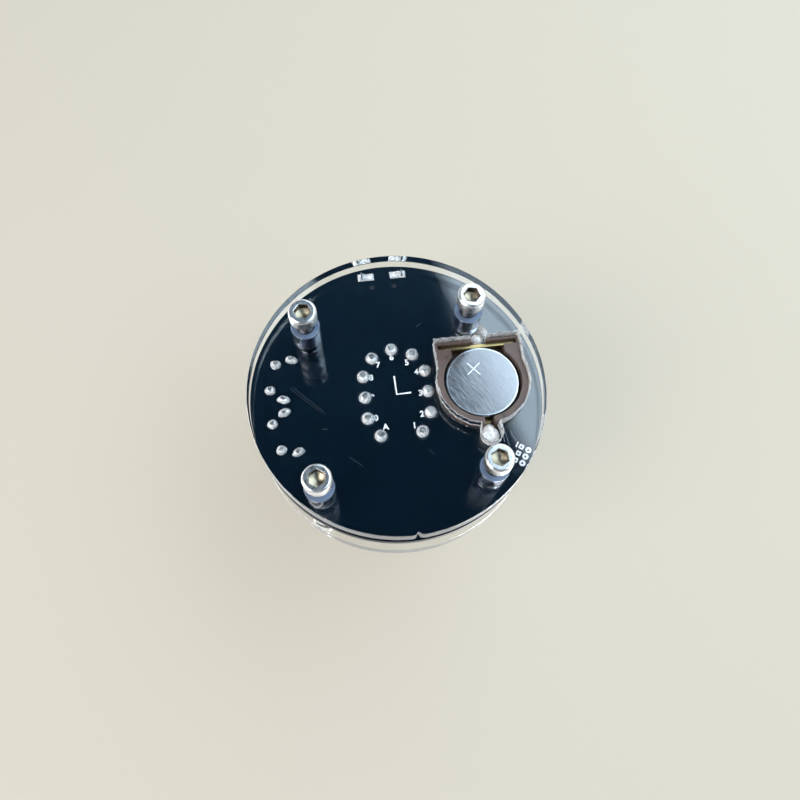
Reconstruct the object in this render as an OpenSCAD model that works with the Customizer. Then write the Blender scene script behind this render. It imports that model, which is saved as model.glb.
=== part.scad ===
// Single-tube clock: an end-view numeral tube on a round board between two clear plates.
// Millimetres. Z = 0 is the plane of the four screw heads that the clock stands on, the tube
// points up, the socket faces +Y, the buttons face +X and the coin cell lies towards -X.

/* [Plates] */
// Radius of the board and of both clear plates
disc_r = 25; // [24.8:0.1:27]
// Thickness of the clear base plate
base_t = 3.2; // [2:0.1:5]
// Gap between the base plate and the board
lower_gap = 1.8; // [1.7:0.1:3]
// Thickness of the circuit board
board_t = 1.6; // [1:0.1:2.4]
// Gap between the board and the top plate
upper_gap = 7; // [6.8:0.1:12]
// Thickness of the clear top plate
top_t = 3; // [2:0.1:5]
// Radius of the nick in the base plate's rim where its cut started
nick_r = 0.45; // [0.2:0.05:0.8]
// Angle of the nick from the +X axis
nick_angle = -91; // [-100:1:-80]

/* [Screws] */
// Distance between screws across the clock
screw_pitch_x = 27.2; // [26.6:0.1:28.2]
// Screw pattern's centre, from the disc's centre across
screw_shift_x = 0.5; // [0:0.1:0.8]
// Distance of the front right screw from the disc's rim
screw_inset = 3.14; // [2.8:0.02:3.6]
// Gap between the holder's square end and the holes of the rear screws
screw_gap = 1.63; // [1.5:0.02:1.9]
// Thread diameter
screw_d = 2.5; // [2:0.1:2.6]
// Screw length below the head
screw_len = 28; // [27:0.5:34]
// Head diameter
head_d = 4.5; // [4.2:0.1:5]
// Head height
head_h = 2.5; // [2:0.1:3]
// Hexagon recess across flats
hex_af = 2.4; // [2:0.1:2.6]
// Depth of the hexagon recess
hex_depth = 1.4; // [0.8:0.1:1.6]
// Bare thread between a head and its sleeve
bare_len = 3; // [1:0.1:5]
// Length of a foot sleeve
sleeve_len = 4.5; // [3:0.1:8]
// Outer diameter of a foot sleeve
sleeve_d = 4.8; // [4.6:0.1:5.2]
// Bore of a foot sleeve
sleeve_bore = 2.9; // [2.8:0.1:3.4]
// Outer diameter of a spacer under the board
lower_spacer_d = 4; // [3.6:0.1:4.1]
// Outer diameter of a spacer above the board
upper_spacer_d = 5; // [4:0.1:5.2]
// Nut across flats
nut_af = 5; // [4.6:0.1:5.2]
// Nut height
nut_h = 2; // [1.4:0.1:2.4]
// Diametral clearance of the plates' and spacers' holes round the threads
screw_clear = 0.1; // [0.04:0.02:0.3]

/* [Tube] */
// Tube across its flat sides
tube_w = 21; // [20.4:0.1:22]
// Tube along its long axis
tube_l = 31; // [30:0.1:32]
// Glass height
tube_h = 25; // [24:0.5:30]
// Gap between the board and the glass
tube_gap = 2.5; // [2.4:0.1:4]
// Wall of the glass
glass_t = 1.2; // [0.8:0.1:1.4]
// Thickness of the glass base that seals the pins
stem_t = 2; // [1.5:0.1:3]
// Rounding of the glass at its face
tube_round = 2.5; // [1.5:0.1:3]
// Radius of the sealed tip under the glass
tip_r = 1.3; // [1:0.1:1.6]
// Pin diameter
pin_d = 1; // [0.8:0.05:1.1]
// Radius of the pin oval's round ends
pin_r = 5.45; // [5.3:0.05:5.6]
// Distance between the centres of the pin oval's round ends
pin_centres = 5.9; // [5.8:0.05:6.1]
// Angle from one pin to the next on a round end
pin_step = 40.4; // [39.6:0.2:41.4]
// Pin length inside the tube, above its glass base
pin_inner = 2.5; // [2.4:0.1:3]
// How far pins and leads stand out under the board
pin_out = 1; // [0.9:0.05:1.2]
// Clearance between the tube and the top plate's opening
tube_clear = 0.5; // [0.3:0.05:0.6]

/* [Tube internals] */
// Thickness of the insulator plate on the pins
insulator_t = 1; // [0.6:0.1:1.4]
// Clearance between the glass and the shield can
can_clear = 1.2; // [0.8:0.1:1.4]
// Wall of the shield can
can_t = 0.3; // [0.2:0.05:0.5]
// Digit height
digit_h = 18; // [16:0.2:18.2]
// Digit width
digit_w = 9; // [7:0.2:9.6]
// Width of a digit's stroke
stroke_w = 0.55; // [0.3:0.05:0.7]
// Thickness of a digit
digit_t = 0.25; // [0.15:0.05:0.4]
// Distance from one digit to the next
digit_pitch = 1.15; // [1:0.05:1.3]
// Height of the lowest digit above the shield can's floor
stack_lift = 1.8; // [1:0.1:2]
// Diameter of the two support rods
rod_d = 0.9; // [0.6:0.05:1]
// Outer diameter of a ceramic spacer
bead_d = 2.2; // [1.8:0.1:2.4]
// Pitch of the anode mesh
mesh_pitch = 2; // [1.5:0.1:3]
// Width of a mesh wire
mesh_wire = 0.2; // [0.15:0.01:0.3]
// Radius of the getter ring
getter_r = 2.4; // [2:0.1:2.8]

/* [Coin cell and holder] */
// Share of the room beside the holder that lies between it and the pins' solder
cell_share = 0.119; // [0.1:0.001:0.2]
// Cell diameter
cell_d = 12.5; // [12.2:0.1:12.7]
// Cell thickness
cell_t = 2; // [1.6:0.1:2.2]
// Gap round the cell in its holder
cell_clear = 0.4; // [0.3:0.05:0.45]
// Gap between the cell and each contact
contact_clear = 0.12; // [0.1:0.01:0.2]
// Height of the holder under the board
holder_h = 4; // [3.8:0.1:4.6]
// Wall of the holder round the cell
holder_wall = 1.1; // [0.95:0.05:1.15]
// Thickness of the holder's floor
holder_floor = 1.1; // [1:0.05:1.3]
// Half the length of the positive contact bar
bar_half = 6.75; // [6.4:0.05:6.8]
// Thickness of the positive contact bar
bar_t = 0.6; // [0.4:0.05:0.7]
// Width of the contacts' tabs
tab_w = 1.4; // [1:0.1:1.6]
// Sheet thickness of the contacts' tabs
tab_t = 0.3; // [0.2:0.05:0.4]
// Share of the same room that lies between it and the base plate's cut-out
cutout_share = 0.068; // [0.05:0.001:0.1]
// The same gap beside the holder's square end
cutout_side_clear = 0.2; // [0.1:0.05:0.4]
// How far the positive contact bar lies below the holder's face
bar_recess = 1; // [0.2:0.1:1.2]
// Radius of the solder joint on the positive contact
positive_blob_r = 1.2; // [1:0.05:1.25]
// Radius of the solder joint on the negative contact
negative_blob_r = 1.65; // [1.4:0.05:1.7]
// Clearance between the holder's solder joints and the base plate's cut-out
blob_clear = 0.15; // [0.1:0.05:0.2]

/* [Buttons] */
// Angle of each switch from the +X axis
switch_angle = 14.5; // [14:0.1:16]
// Signal leads, in from the disc's rim
signal_inset = 3.5; // [3.4:0.05:3.8]
// Distance between the signal leads of one switch
signal_pitch = 4.8; // [4.4:0.1:5]
// Bracket legs, in from the signal leads
bracket_inset = 2.53; // [2.5:0.01:2.7]
// Distance between the bracket legs of one switch
bracket_pitch = 7.4; // [7.2:0.1:7.6]
// Width and height of a switch body
switch_w = 6; // [5.6:0.1:6.1]
// Depth of a switch body
switch_depth = 3.5; // [3.2:0.05:3.6]
// Height of a switch body above the board
switch_lift = 0.3; // [0.2:0.05:0.4]
// Button diameter
button_d = 3.4; // [3:0.1:3.6]
// How far a button stands out of its switch
button_out = 1.6; // [1.2:0.05:1.8]
// Button travel
button_travel = 0.25; // [0.2:0.01:0.3]
// Radial clearance of a button in its switch
button_clear = 0.1; // [0.06:0.01:0.15]
// Sheet thickness of a switch bracket
bracket_t = 0.35; // [0.25:0.05:0.4]
// Width of a switch lead
lead_w = 0.7; // [0.6:0.05:0.75]
// Thickness of a switch lead
lead_t = 0.3; // [0.25:0.05:0.4]

/* [Socket] */
// Socket width
usb_w = 7.5; // [7.4:0.05:7.8]
// Socket depth
usb_depth = 5.2; // [5:0.1:5.4]
// Socket height
usb_h = 2.6; // [2.4:0.05:2.8]
// Socket sheet thickness
usb_t = 0.25; // [0.2:0.05:0.3]
// Shell legs, in from the disc's rim
usb_leg_inset = 1.86; // [1.8:0.02:2]
// Locating pegs, in from the disc's rim
usb_peg_inset = 4.06; // [3.9:0.02:4.2]
// Distance between the locating pegs
usb_peg_pitch = 4; // [3.8:0.1:4.2]
// Peg diameter
usb_peg_d = 0.65; // [0.5:0.05:0.8]

/* [Board parts] */
// Converter coil's side
coil_w = 6; // [5:0.1:6.2]
// Converter coil's height
coil_h = 4; // [3:0.1:4.5]
// High-voltage capacitor's diameter
hv_cap_d = 6.3; // [5:0.1:6.4]
// High-voltage capacitor's length
hv_cap_len = 11; // [8:0.2:11.4]
// Input capacitor's diameter
in_cap_d = 5; // [4:0.1:5.2]
// Input capacitor's height
in_cap_h = 5.4; // [4:0.1:5.8]
// Side of the controller's body
controller_w = 7; // [5:0.1:7.2]
// Crystal diameter
crystal_d = 2; // [1.5:0.1:2.2]
// Crystal length
crystal_len = 6; // [4:0.2:6.4]
// Pitch of the header holes
header_pitch = 1.27; // [1.2:0.01:1.4]
// Diameter of the header holes
header_hole_d = 0.6; // [0.5:0.05:0.7]
// Angle of the header from the +X axis
header_angle = 213.8; // [210:0.2:217]
// Outer column of header holes, in from the disc's rim
header_inset = 0.9; // [0.8:0.05:1.2]
// Height of a solder joint
solder_h = 0.9; // [0.85:0.05:1.1]
// Radius of a tube pin's solder joint
solder_r = 1.1; // [1:0.05:1.2]

/* [Hidden] */
$fn = 64;

// A sliver by which shapes of one piece run into each other
hair = 0.01;
// Longer than anything on the clock
inf = 60;
// Diametral clearance of leads and pegs in the board
hole_clear = 0.1;

// Heights of the layers
base_z = head_h + bare_len + sleeve_len;
board_z = base_z + base_t + lower_gap;
board_top = board_z + board_t;
plate_z = board_top + upper_gap;
nut_z = plate_z + top_t;
tube_z = board_top + tube_gap;
stem_top = tube_z + stem_t;
insulator_z = stem_top + pin_inner;
can_z = insulator_z + insulator_t;
floor_z = can_z + can_t;
stack_z = floor_z + stack_lift;
// The digits from the rear of the tube to its face
stack_order = [1, 6, 2, 7, 5, 0, 4, 9, 8, 3];
rod_end = 0.3;
rod_top = stack_z + len(stack_order) * digit_pitch + rod_end;
mesh_z = rod_top + hole_clear;
can_h = mesh_z - can_z;
lead_tip_z = board_z - pin_out;
holder_z = board_z - holder_h;
strip_z = board_z - holder_floor;
cell_top = strip_z - contact_clear;
cell_z = cell_top - cell_t;

// Tube pins on their oval: one on the long axis, two on each side of a round end and one
// on each straight side. The twelfth place, at the front, is empty.
pin_end = [for (k = [0:2]) [pin_r * sin(k * pin_step), pin_centres / 2 + pin_r * cos(k * pin_step)]];
pin_places = concat(
    [pin_end[0]],
    [for (sx = [-1, 1], sy = [-1, 1], k = [1, 2]) [sx * pin_end[k][0], sy * pin_end[k][1]]],
    [for (sx = [-1, 1]) [sx * pin_r, 0]]);
pin_hole_d = pin_d + hole_clear;

// Switches, in a frame whose +X points out through the button
signal_r = disc_r - signal_inset;
bracket_r = signal_r - bracket_inset;
signal_hole_d = lead_w + 0.3;
bracket_hole_d = lead_w + 0.6;
switch_back = bracket_r + bracket_t;
switch_front = switch_back + switch_depth;
switch_z = board_top + switch_lift;
button_z = switch_z + switch_w / 2;
plunger_seat = 1;
button_root = switch_back + plunger_seat;
snap_disc_t = 0.1;
snap_disc_gap = 0.25;
switch_floor = button_root - button_travel - snap_disc_gap - snap_disc_t;

// Socket
usb_mouth_y = disc_r;
usb_back_y = usb_mouth_y - usb_depth;
usb_leg_y = disc_r - usb_leg_inset;
usb_peg_y = disc_r - usb_peg_inset;
usb_leg_x = usb_w / 2 - usb_t / 2;
usb_leg_w = 1;
usb_slot_clear = 0.3;
usb_pad_l = 2.9;
usb_pad_w = 1.4;
usb_pad_h = 0.35;
usb_pad_shift = 0.735;
usb_tail_l = 1;

// Cell holder, in a frame centred on the cell
pocket_r = cell_d / 2 + cell_clear;
holder_r = pocket_r + holder_wall;
bar_y = cell_d / 2 + contact_clear;
bar_end_y = bar_y + bar_t;
end_wall = 0.6;
side_wall = 0.5;
holder_end_y = bar_end_y + end_wall;
holder_end_x = bar_half + side_wall;
positive_tab_x = -0.45;
tab_root = 1;
tab_root_z = holder_z + tab_root;
positive_tab_out = 1.3;
negative_tab_out = 2.2;
blob_gap = 0.05;
positive_tab_y = holder_end_y + positive_tab_out;
negative_tab_y = holder_r + negative_tab_out;
positive_blob_y = bar_end_y + blob_gap + positive_blob_r;
negative_blob_y = holder_r + blob_gap + negative_blob_r;
positive_foot_r = 0.8;
negative_foot_r = 1.5;

// The holder's place in the room between the pins' solder and the rim, and the gap round it
cell_room = disc_r - pin_r - solder_r - 2 * holder_r;
cell_x = pin_r + solder_r + cell_share * cell_room + holder_r;
cutout_clear = cutout_share * cell_room;

// Screw places: the rear row stands behind the holder and the front row near the rim
screw_hole_d = screw_d + screw_clear;
screw_right = screw_shift_x + screw_pitch_x / 2;
screw_left = screw_shift_x - screw_pitch_x / 2;
screw_rear = holder_end_y + screw_gap + screw_hole_d / 2;
screw_front = -sqrt(pow(disc_r - screw_inset, 2) - pow(screw_right, 2));
screw_places = [for (x = [screw_left, screw_right], y = [screw_front, screw_rear]) [x, y]];

module at_screws() {
    for (p = screw_places) translate([p[0], p[1], 0]) children();
}

module at_pins() {
    for (p = pin_places) translate([p[0], p[1], 0]) children();
}

module at_switch(side) {
    rotate([0, 0, side * switch_angle]) children();
}

module at_cell() {
    translate([-cell_x, 0, 0]) children();
}

// A block given by its centre in X and Y and by its lower face
module block(x, y, z, sx, sy, sz) {
    translate([x - sx / 2, y - sy / 2, z]) cube([sx, sy, sz]);
}

module ring(outer_d, inner_d, h) {
    difference() {
        cylinder(d = outer_d, h = h);
        translate([0, 0, -1]) cylinder(d = inner_d, h = h + 2);
    }
}

// An oval column with straight sides: w across, l along Y
module oval_column(w, l, h) {
    for (s = [0, 1]) mirror([0, s, 0])
        translate([0, (l - w) / 2, 0]) rotate_extrude(angle = 180) square([w / 2, h]);
    block(0, 0, 0, w, l - w, h);
}

// The same column with its upper edge rounded by r
module round_oval(w, l, h, r) {
    for (s = [0, 1]) mirror([0, s, 0])
        translate([0, (l - w) / 2, 0]) rotate_extrude(angle = 180) rounded_half(w / 2, h, r);
    rotate([90, 0, 0]) translate([0, 0, -(l - w) / 2]) linear_extrude(l - w) {
        rounded_half(w / 2, h, r);
        mirror([1, 0]) rounded_half(w / 2, h, r);
    }
}

module rounded_half(half, h, r) {
    square([half, h - r]);
    square([half - r, h]);
    intersection() {
        translate([half - r, h - r]) circle(r);
        translate([half - r - hair, h - r - hair]) square(2 * r);
    }
}

// A domed joint that hangs under the board, bored for what it holds
module solder_dome(r, h) {
    sphere_r = (r * r + h * h) / (2 * h);
    translate([0, 0, board_z]) intersection() {
        translate([0, 0, sphere_r - h]) sphere(sphere_r);
        translate([0, 0, -h - 1]) cylinder(r = r + 1, h = h + 1);
    }
}

// A joint with a narrow foot on the board that swells out in the base plate's opening
module swollen_joint(r, foot_r) {
    translate([0, 0, board_z - lower_gap]) {
        cylinder(r = foot_r, h = lower_gap);
        intersection() {
            sphere(r);
            translate([0, 0, -r - 1]) cylinder(r = r + 1, h = r + 1);
        }
    }
}

// ---------------------------------------------------------------- plates and fasteners

// A round wall with a square end; the gaps are zero for the holder itself
module holder_outline(gap, side_gap) {
    end_x = holder_end_x + side_gap;
    circle(holder_r + gap);
    translate([-end_x, 0]) square([2 * end_x, holder_end_y + gap]);
}

module base_plate() {
    color([0.9, 0.95, 1, 0.35]) difference() {
        translate([0, 0, base_z]) cylinder(r = disc_r, h = base_t);
        at_screws() cylinder(d = screw_hole_d, h = inf);
        at_cell() translate([0, 0, base_z - 1]) {
            linear_extrude(base_t + 2) holder_outline(cutout_clear, cutout_side_clear);
            translate([positive_tab_x, positive_blob_y, 0])
                cylinder(r = positive_blob_r + blob_clear, h = base_t + 2);
            translate([0, -negative_blob_y, 0]) cylinder(r = negative_blob_r + blob_clear, h = base_t + 2);
        }
        rotate([0, 0, nick_angle]) translate([disc_r, 0, 0]) cylinder(r = nick_r, h = inf);
    }
}

module circuit_board() {
    color([0.02, 0.03, 0.06]) difference() {
        translate([0, 0, board_z]) cylinder(r = disc_r, h = board_t);
        at_screws() cylinder(d = screw_hole_d, h = inf);
        at_pins() cylinder(d = pin_hole_d, h = inf);
        for (side = [-1, 1]) at_switch(side) {
            for (s = [-1, 1]) {
                translate([signal_r, s * signal_pitch / 2, 0]) cylinder(d = signal_hole_d, h = inf);
                translate([bracket_r, s * bracket_pitch / 2, 0]) cylinder(d = bracket_hole_d, h = inf);
            }
        }
        for (s = [-1, 1])
            block(s * usb_leg_x, usb_leg_y, 0, usb_t + usb_slot_clear, usb_leg_w + usb_slot_clear, inf);
        translate([0, 0, -1]) at_pegs() cylinder(d = usb_peg_d + hole_clear, h = inf);
        for (i = [0, 1]) at_header(i) cylinder(d = header_hole_d, h = inf);
    }
}

module top_plate() {
    color([0.9, 0.95, 1, 0.35]) difference() {
        translate([0, 0, plate_z]) cylinder(r = disc_r, h = top_t);
        at_screws() cylinder(d = screw_hole_d, h = inf);
        translate([0, 0, plate_z - 1])
            oval_column(tube_w + 2 * tube_clear, tube_l + 2 * tube_clear, top_t + 2);
    }
}

module foot_screws() {
    chamfer = 0.35;
    drill_point = 0.5;
    color([0.75, 0.75, 0.75]) at_screws() difference() {
        union() {
            rotate_extrude() polygon([
                [0, 0], [head_d / 2 - chamfer, 0], [head_d / 2, chamfer], [head_d / 2, head_h],
                [0, head_h]]);
            cylinder(d = screw_d, h = head_h + screw_len);
        }
        translate([0, 0, -1]) cylinder(d = hex_af / cos(30), h = hex_depth + 1, $fn = 6);
        translate([0, 0, hex_depth - hair]) cylinder(d1 = hex_af, d2 = 0, h = drill_point);
    }
}

module foot_sleeves() {
    color([0.5, 0.58, 0.78, 0.6]) at_screws()
        translate([0, 0, head_h + bare_len]) ring(sleeve_d, sleeve_bore, sleeve_len);
}

module lower_spacers() {
    color([0.3, 0.35, 0.45, 0.6]) at_screws()
        translate([0, 0, base_z + base_t]) ring(lower_spacer_d, screw_hole_d, lower_gap);
}

module upper_spacers() {
    color([0.9, 0.9, 0.9]) at_screws()
        translate([0, 0, board_top]) ring(upper_spacer_d, screw_hole_d, upper_gap);
}

module nuts() {
    color([0.75, 0.75, 0.75]) at_screws() translate([0, 0, nut_z]) difference() {
        cylinder(d = nut_af / cos(30), h = nut_h, $fn = 6);
        translate([0, 0, -1]) cylinder(d = screw_hole_d, h = nut_h + 2);
    }
}

// ---------------------------------------------------------------- tube

module tube_glass() {
    inner_w = tube_w - 2 * glass_t;
    inner_l = tube_l - 2 * glass_t;
    inner_h = tube_h - stem_t - glass_t;
    color([0.9, 0.95, 1, 0.3]) difference() {
        union() {
            translate([0, 0, tube_z]) round_oval(tube_w, tube_l, tube_h, tube_round);
            translate([0, 0, tube_z]) sphere(tip_r);
        }
        translate([0, 0, stem_top]) round_oval(inner_w, inner_l, inner_h, tube_round - glass_t);
        at_pins() translate([0, 0, tube_z - 1]) cylinder(d = pin_d, h = stem_t + 2);
    }
}

module tube_pins() {
    color([0.7, 0.7, 0.68]) at_pins()
        translate([0, 0, lead_tip_z]) cylinder(d = pin_d, h = insulator_z - lead_tip_z);
}

can_w = tube_w - 2 * glass_t - 2 * can_clear;
can_l = tube_l - 2 * glass_t - 2 * can_clear;
bead_gap = 0.2;
ear_y = can_l / 2 - can_t - bead_d / 2 - bead_gap;

module stem_insulator() {
    color([0.92, 0.9, 0.85]) translate([0, 0, insulator_z]) oval_column(can_w, can_l, insulator_t);
}

module shield_can() {
    color([0.25, 0.25, 0.27]) difference() {
        translate([0, 0, can_z]) oval_column(can_w, can_l, can_h);
        translate([0, 0, floor_z]) oval_column(can_w - 2 * can_t, can_l - 2 * can_t, can_h);
    }
}

module anode_mesh() {
    frame = 1;
    half_x = ceil(can_w / 2 / mesh_pitch);
    half_y = ceil(can_l / 2 / mesh_pitch);
    color([0.6, 0.6, 0.6]) {
        translate([0, 0, mesh_z]) difference() {
            oval_column(can_w, can_l, digit_t);
            translate([0, 0, -1]) oval_column(can_w - 2 * frame, can_l - 2 * frame, digit_t + 2);
        }
        translate([0, 0, mesh_z]) intersection() {
            oval_column(can_w - frame, can_l - frame, digit_t);
            union() {
                for (k = [-half_x:half_x]) block(k * mesh_pitch, 0, 0, mesh_wire, can_l, mesh_wire);
                for (k = [-half_y:half_y]) block(0, k * mesh_pitch, 0, can_w, mesh_wire, mesh_wire);
            }
        }
    }
}

// A straight stroke between two points, with round ends
module bar(a, b) {
    run = b - a;
    translate([a[0], a[1], 0]) rotate([0, 0, atan2(run[1], run[0])])
        translate([0, -stroke_w / 2, 0]) cube([norm(run), stroke_w, digit_t]);
    for (p = [a, b]) translate([p[0], p[1], 0]) cylinder(d = stroke_w, h = digit_t);
}

// A round stroke from one angle to the next
module bow(centre, r, from, to) {
    translate([centre[0], centre[1], 0]) rotate([0, 0, from])
        rotate_extrude(angle = to - from)
            translate([r - stroke_w / 2, 0]) square([stroke_w, digit_t]);
}

// Two ears that thread onto the support rods, joined to the digit's top and foot
module ears(top, foot) {
    for (s = [0, 1]) mirror([0, s, 0]) difference() {
        union() {
            translate([0, ear_y, 0]) cylinder(d = bead_d, h = digit_t);
            bar([0, ear_y - bead_d / 2 + hair], s == 0 ? top : [foot[0], -foot[1]]);
        }
        translate([0, ear_y, -1]) cylinder(d = rod_d, h = digit_t + 2);
    }
}

// Half sizes of a digit, to the middle of its stroke
dh = (digit_h - stroke_w) / 2;
dw = (digit_w - stroke_w) / 2;
// The stem of a 6 or a 9 runs a little inside its loop's side
stem_x = dw - 0.06;

// A 6, which upside down is a 9
module loop_and_tail() {
    bow([0, dw - dh], dw, 0, 360);
    bar([-stem_x, dw - dh], [-stem_x, dh - stem_x]);
    bow([0, dh - stem_x], stem_x, 30, 180);
}

module digit_shape(value) {
    if (value == 0) {
        for (s = [-1, 1]) bar([s * dw, dw - dh], [s * dw, dh - dw]);
        bow([0, dh - dw], dw, 0, 180);
        bow([0, dw - dh], dw, 180, 360);
        ears([0, dh], [0, -dh]);
    }
    if (value == 1) {
        bar([0, -dh], [0, dh]);
        bar([0, dh], [-dw / 2, dh * 0.72]);
        ears([0, dh], [0, -dh]);
    }
    if (value == 2) {
        bow([0, dh - dw], dw, -35, 170);
        bar([dw * cos(35), dh - dw - dw * sin(35)], [-dw, -dh]);
        bar([-dw, -dh], [dw, -dh]);
        ears([0, dh], [0, -dh]);
    }
    if (value == 3) {
        bow([0, dh / 2], dh / 2, -90, 155);
        bow([0, -dh / 2], dh / 2, -155, 90);
        ears([0, dh], [0, -dh]);
    }
    if (value == 4) {
        bar([dw / 3, dh], [-dw, -dh / 3]);
        bar([-dw, -dh / 3], [dw, -dh / 3]);
        bar([dw / 3, dh], [dw / 3, -dh]);
        ears([dw / 3, dh], [dw / 3, -dh]);
    }
    if (value == 5) {
        bar([-dw * 0.9, dh], [dw, dh]);
        bar([-dw * 0.9, dh], [-dw * 0.9, dw * sin(140) + dw - dh + hair]);
        bar([-dw * 0.9, dw * sin(140) + dw - dh + hair], [dw * cos(140), dw * sin(140) + dw - dh]);
        bow([0, dw - dh], dw, -150, 140);
        ears([0, dh], [0, -dh]);
    }
    if (value == 6) {
        loop_and_tail();
        ears([0, dh], [0, -dh]);
    }
    if (value == 7) {
        bar([-dw, dh], [dw, dh]);
        bar([dw, dh], [-dw / 3, -dh]);
        ears([0, dh], [-dw / 3, -dh]);
    }
    if (value == 8) {
        bow([0, dh / 2], dh / 2, 0, 360);
        bow([0, -dh / 2], dh / 2, 0, 360);
        ears([0, dh], [0, -dh]);
    }
    if (value == 9) {
        rotate([0, 0, 180]) loop_and_tail();
        ears([0, dh], [0, -dh]);
    }
}

module digit(value) {
    level = search(value, stack_order)[0];
    color([0.8, 0.55, 0.35]) translate([0, 0, stack_z + level * digit_pitch]) digit_shape(value);
}

module support_rods() {
    color([0.7, 0.7, 0.7]) for (s = [-1, 1])
        translate([0, s * ear_y, floor_z]) cylinder(d = rod_d, h = rod_top - floor_z);
}

module ceramic_spacers() {
    color([0.92, 0.9, 0.85]) for (s = [-1, 1]) translate([0, s * ear_y, 0]) {
        translate([0, 0, floor_z]) ring(bead_d, rod_d, stack_lift);
        for (k = [0:len(stack_order) - 1])
            translate([0, 0, stack_z + k * digit_pitch + digit_t])
                ring(bead_d, rod_d, digit_pitch - digit_t);
    }
}

module getter() {
    wire = 0.5;
    color([0.3, 0.3, 0.32]) {
        translate([0, 0, stem_top + pin_inner / 2]) rotate_extrude() translate([getter_r, 0]) circle(wire);
        translate([0, getter_r, stem_top + pin_inner / 2]) cylinder(r = wire / 2, h = pin_inner / 2);
    }
}

// ---------------------------------------------------------------- coin cell and holder

module holder_body() {
    recess_x = 4.6;
    recess_y = 4;
    slot_gap = 0.1;
    channel_w = tab_w + 2 * slot_gap;
    channel_l = 2.6 * holder_wall;
    notch_w = 2 * (positive_blob_r + slot_gap);
    pocket_h = holder_h - holder_floor + 1;
    color([0.36, 0.32, 0.32]) at_cell() difference() {
        translate([0, 0, holder_z]) linear_extrude(holder_h) holder_outline(0, 0);
        translate([0, 0, holder_z - 1]) cylinder(r = pocket_r, h = pocket_h);
        translate([-recess_x, recess_y, holder_z - 1])
            cube([2 * recess_x, bar_end_y + slot_gap - recess_y, pocket_h]);
        translate([-bar_half - slot_gap, bar_y - slot_gap, holder_z - 1])
            cube([2 * (bar_half + slot_gap), bar_t + 2 * slot_gap, pocket_h]);
        // Notch for the solder behind the bar, then channels for the two contacts and their tabs
        block(positive_tab_x, holder_end_y, holder_z - 1, notch_w, 2 * end_wall, inf);
        block(positive_tab_x, bar_y + holder_end_y / 2, tab_root_z, channel_w, holder_end_y, holder_h);
        block(0, -holder_end_y / 2, cell_top - hair, channel_w, holder_end_y * 2, holder_h);
        block(0, -holder_r, holder_z - 1, channel_w, channel_l, inf);
    }
}

module positive_contact() {
    floor_gap = 0.1;
    color([0.72, 0.58, 0.25]) at_cell() {
        translate([-bar_half, bar_y, holder_z + bar_recess])
            cube([2 * bar_half, bar_t, holder_h - holder_floor - bar_recess - floor_gap]);
        block(positive_tab_x, bar_y + bar_t / 2, tab_root_z, tab_w, bar_t, board_z - tab_root_z);
        translate([positive_tab_x - tab_w / 2, bar_y, board_z - tab_t])
            cube([tab_w, positive_tab_y - bar_y, tab_t]);
    }
}

module negative_contact() {
    drop_y = holder_r - holder_wall;
    past_centre = 3;
    color([0.72, 0.58, 0.25]) at_cell() {
        translate([-tab_w / 2, -drop_y - tab_t, strip_z])
            cube([tab_w, drop_y + tab_t + past_centre, tab_t]);
        translate([-tab_w / 2, -drop_y - tab_t, strip_z]) cube([tab_w, tab_t, board_z - strip_z]);
        translate([-tab_w / 2, -negative_tab_y, board_z - tab_t])
            cube([tab_w, negative_tab_y - drop_y, tab_t]);
    }
}

cell_edge = 0.3;
cell_cap_t = 0.25;
gasket_d = cell_d - 2 * cell_edge;
gasket_w = 0.45;
gasket_h = 0.5;

module cell_can() {
    half = cell_d / 2;
    can_top = cell_t - cell_cap_t;
    plus_l = 3.4;
    plus_w = 0.35;
    plus_depth = 0.06;
    plus_at = [1.15, 2.45];
    color([0.7, 0.74, 0.8]) at_cell() difference() {
        translate([0, 0, cell_z]) rotate_extrude() polygon([
            [0, 0], [half - cell_edge, 0], [half, cell_edge], [half, can_top], [0, can_top]]);
        translate([0, 0, cell_z + can_top - gasket_h]) ring(gasket_d, gasket_d - 2 * gasket_w, 1);
        translate([plus_at[0], plus_at[1], cell_z]) rotate([0, 0, 10])
            for (a = [0, 90]) rotate([0, 0, a]) block(0, 0, -1, plus_l, plus_w, 1 + plus_depth);
    }
}

module cell_gasket() {
    color([0.1, 0.1, 0.1]) at_cell() translate([0, 0, cell_top - cell_cap_t - gasket_h])
        ring(gasket_d, gasket_d - 2 * gasket_w, gasket_h + 0.1);
}

module cell_cap() {
    color([0.7, 0.74, 0.8]) at_cell() translate([0, 0, cell_top - cell_cap_t])
        cylinder(d = gasket_d - 2 * gasket_w, h = cell_cap_t);
}

// ---------------------------------------------------------------- buttons

module switch_bodies() {
    bore_d = button_d + 2 * button_clear;
    color([0.1, 0.1, 0.1]) for (side = [-1, 1]) at_switch(side) difference() {
        translate([switch_back, -switch_w / 2, switch_z]) cube([switch_depth, switch_w, switch_w]);
        translate([switch_floor, 0, button_z]) rotate([0, 90, 0]) cylinder(d = bore_d, h = inf);
    }
}

module switch_brackets() {
    span = bracket_pitch + bracket_t;
    color([0.75, 0.75, 0.75]) for (side = [-1, 1]) at_switch(side) {
        translate([switch_back - bracket_t, -span / 2, switch_z]) cube([bracket_t, span, switch_w]);
        for (s = [-1, 1]) translate([bracket_r, s * bracket_pitch / 2, 0]) {
            block(bracket_t / 2, 0, switch_z, bracket_t * 3, bracket_t, switch_w);
            block(0, 0, lead_tip_z, lead_w, bracket_t, switch_z - lead_tip_z + 1);
        }
    }
}

module switch_leads() {
    color([0.75, 0.75, 0.75]) for (side = [-1, 1], s = [-1, 1]) at_switch(side)
        block(signal_r, s * signal_pitch / 2, lead_tip_z, lead_t, lead_w, switch_z - lead_tip_z);
}

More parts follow.
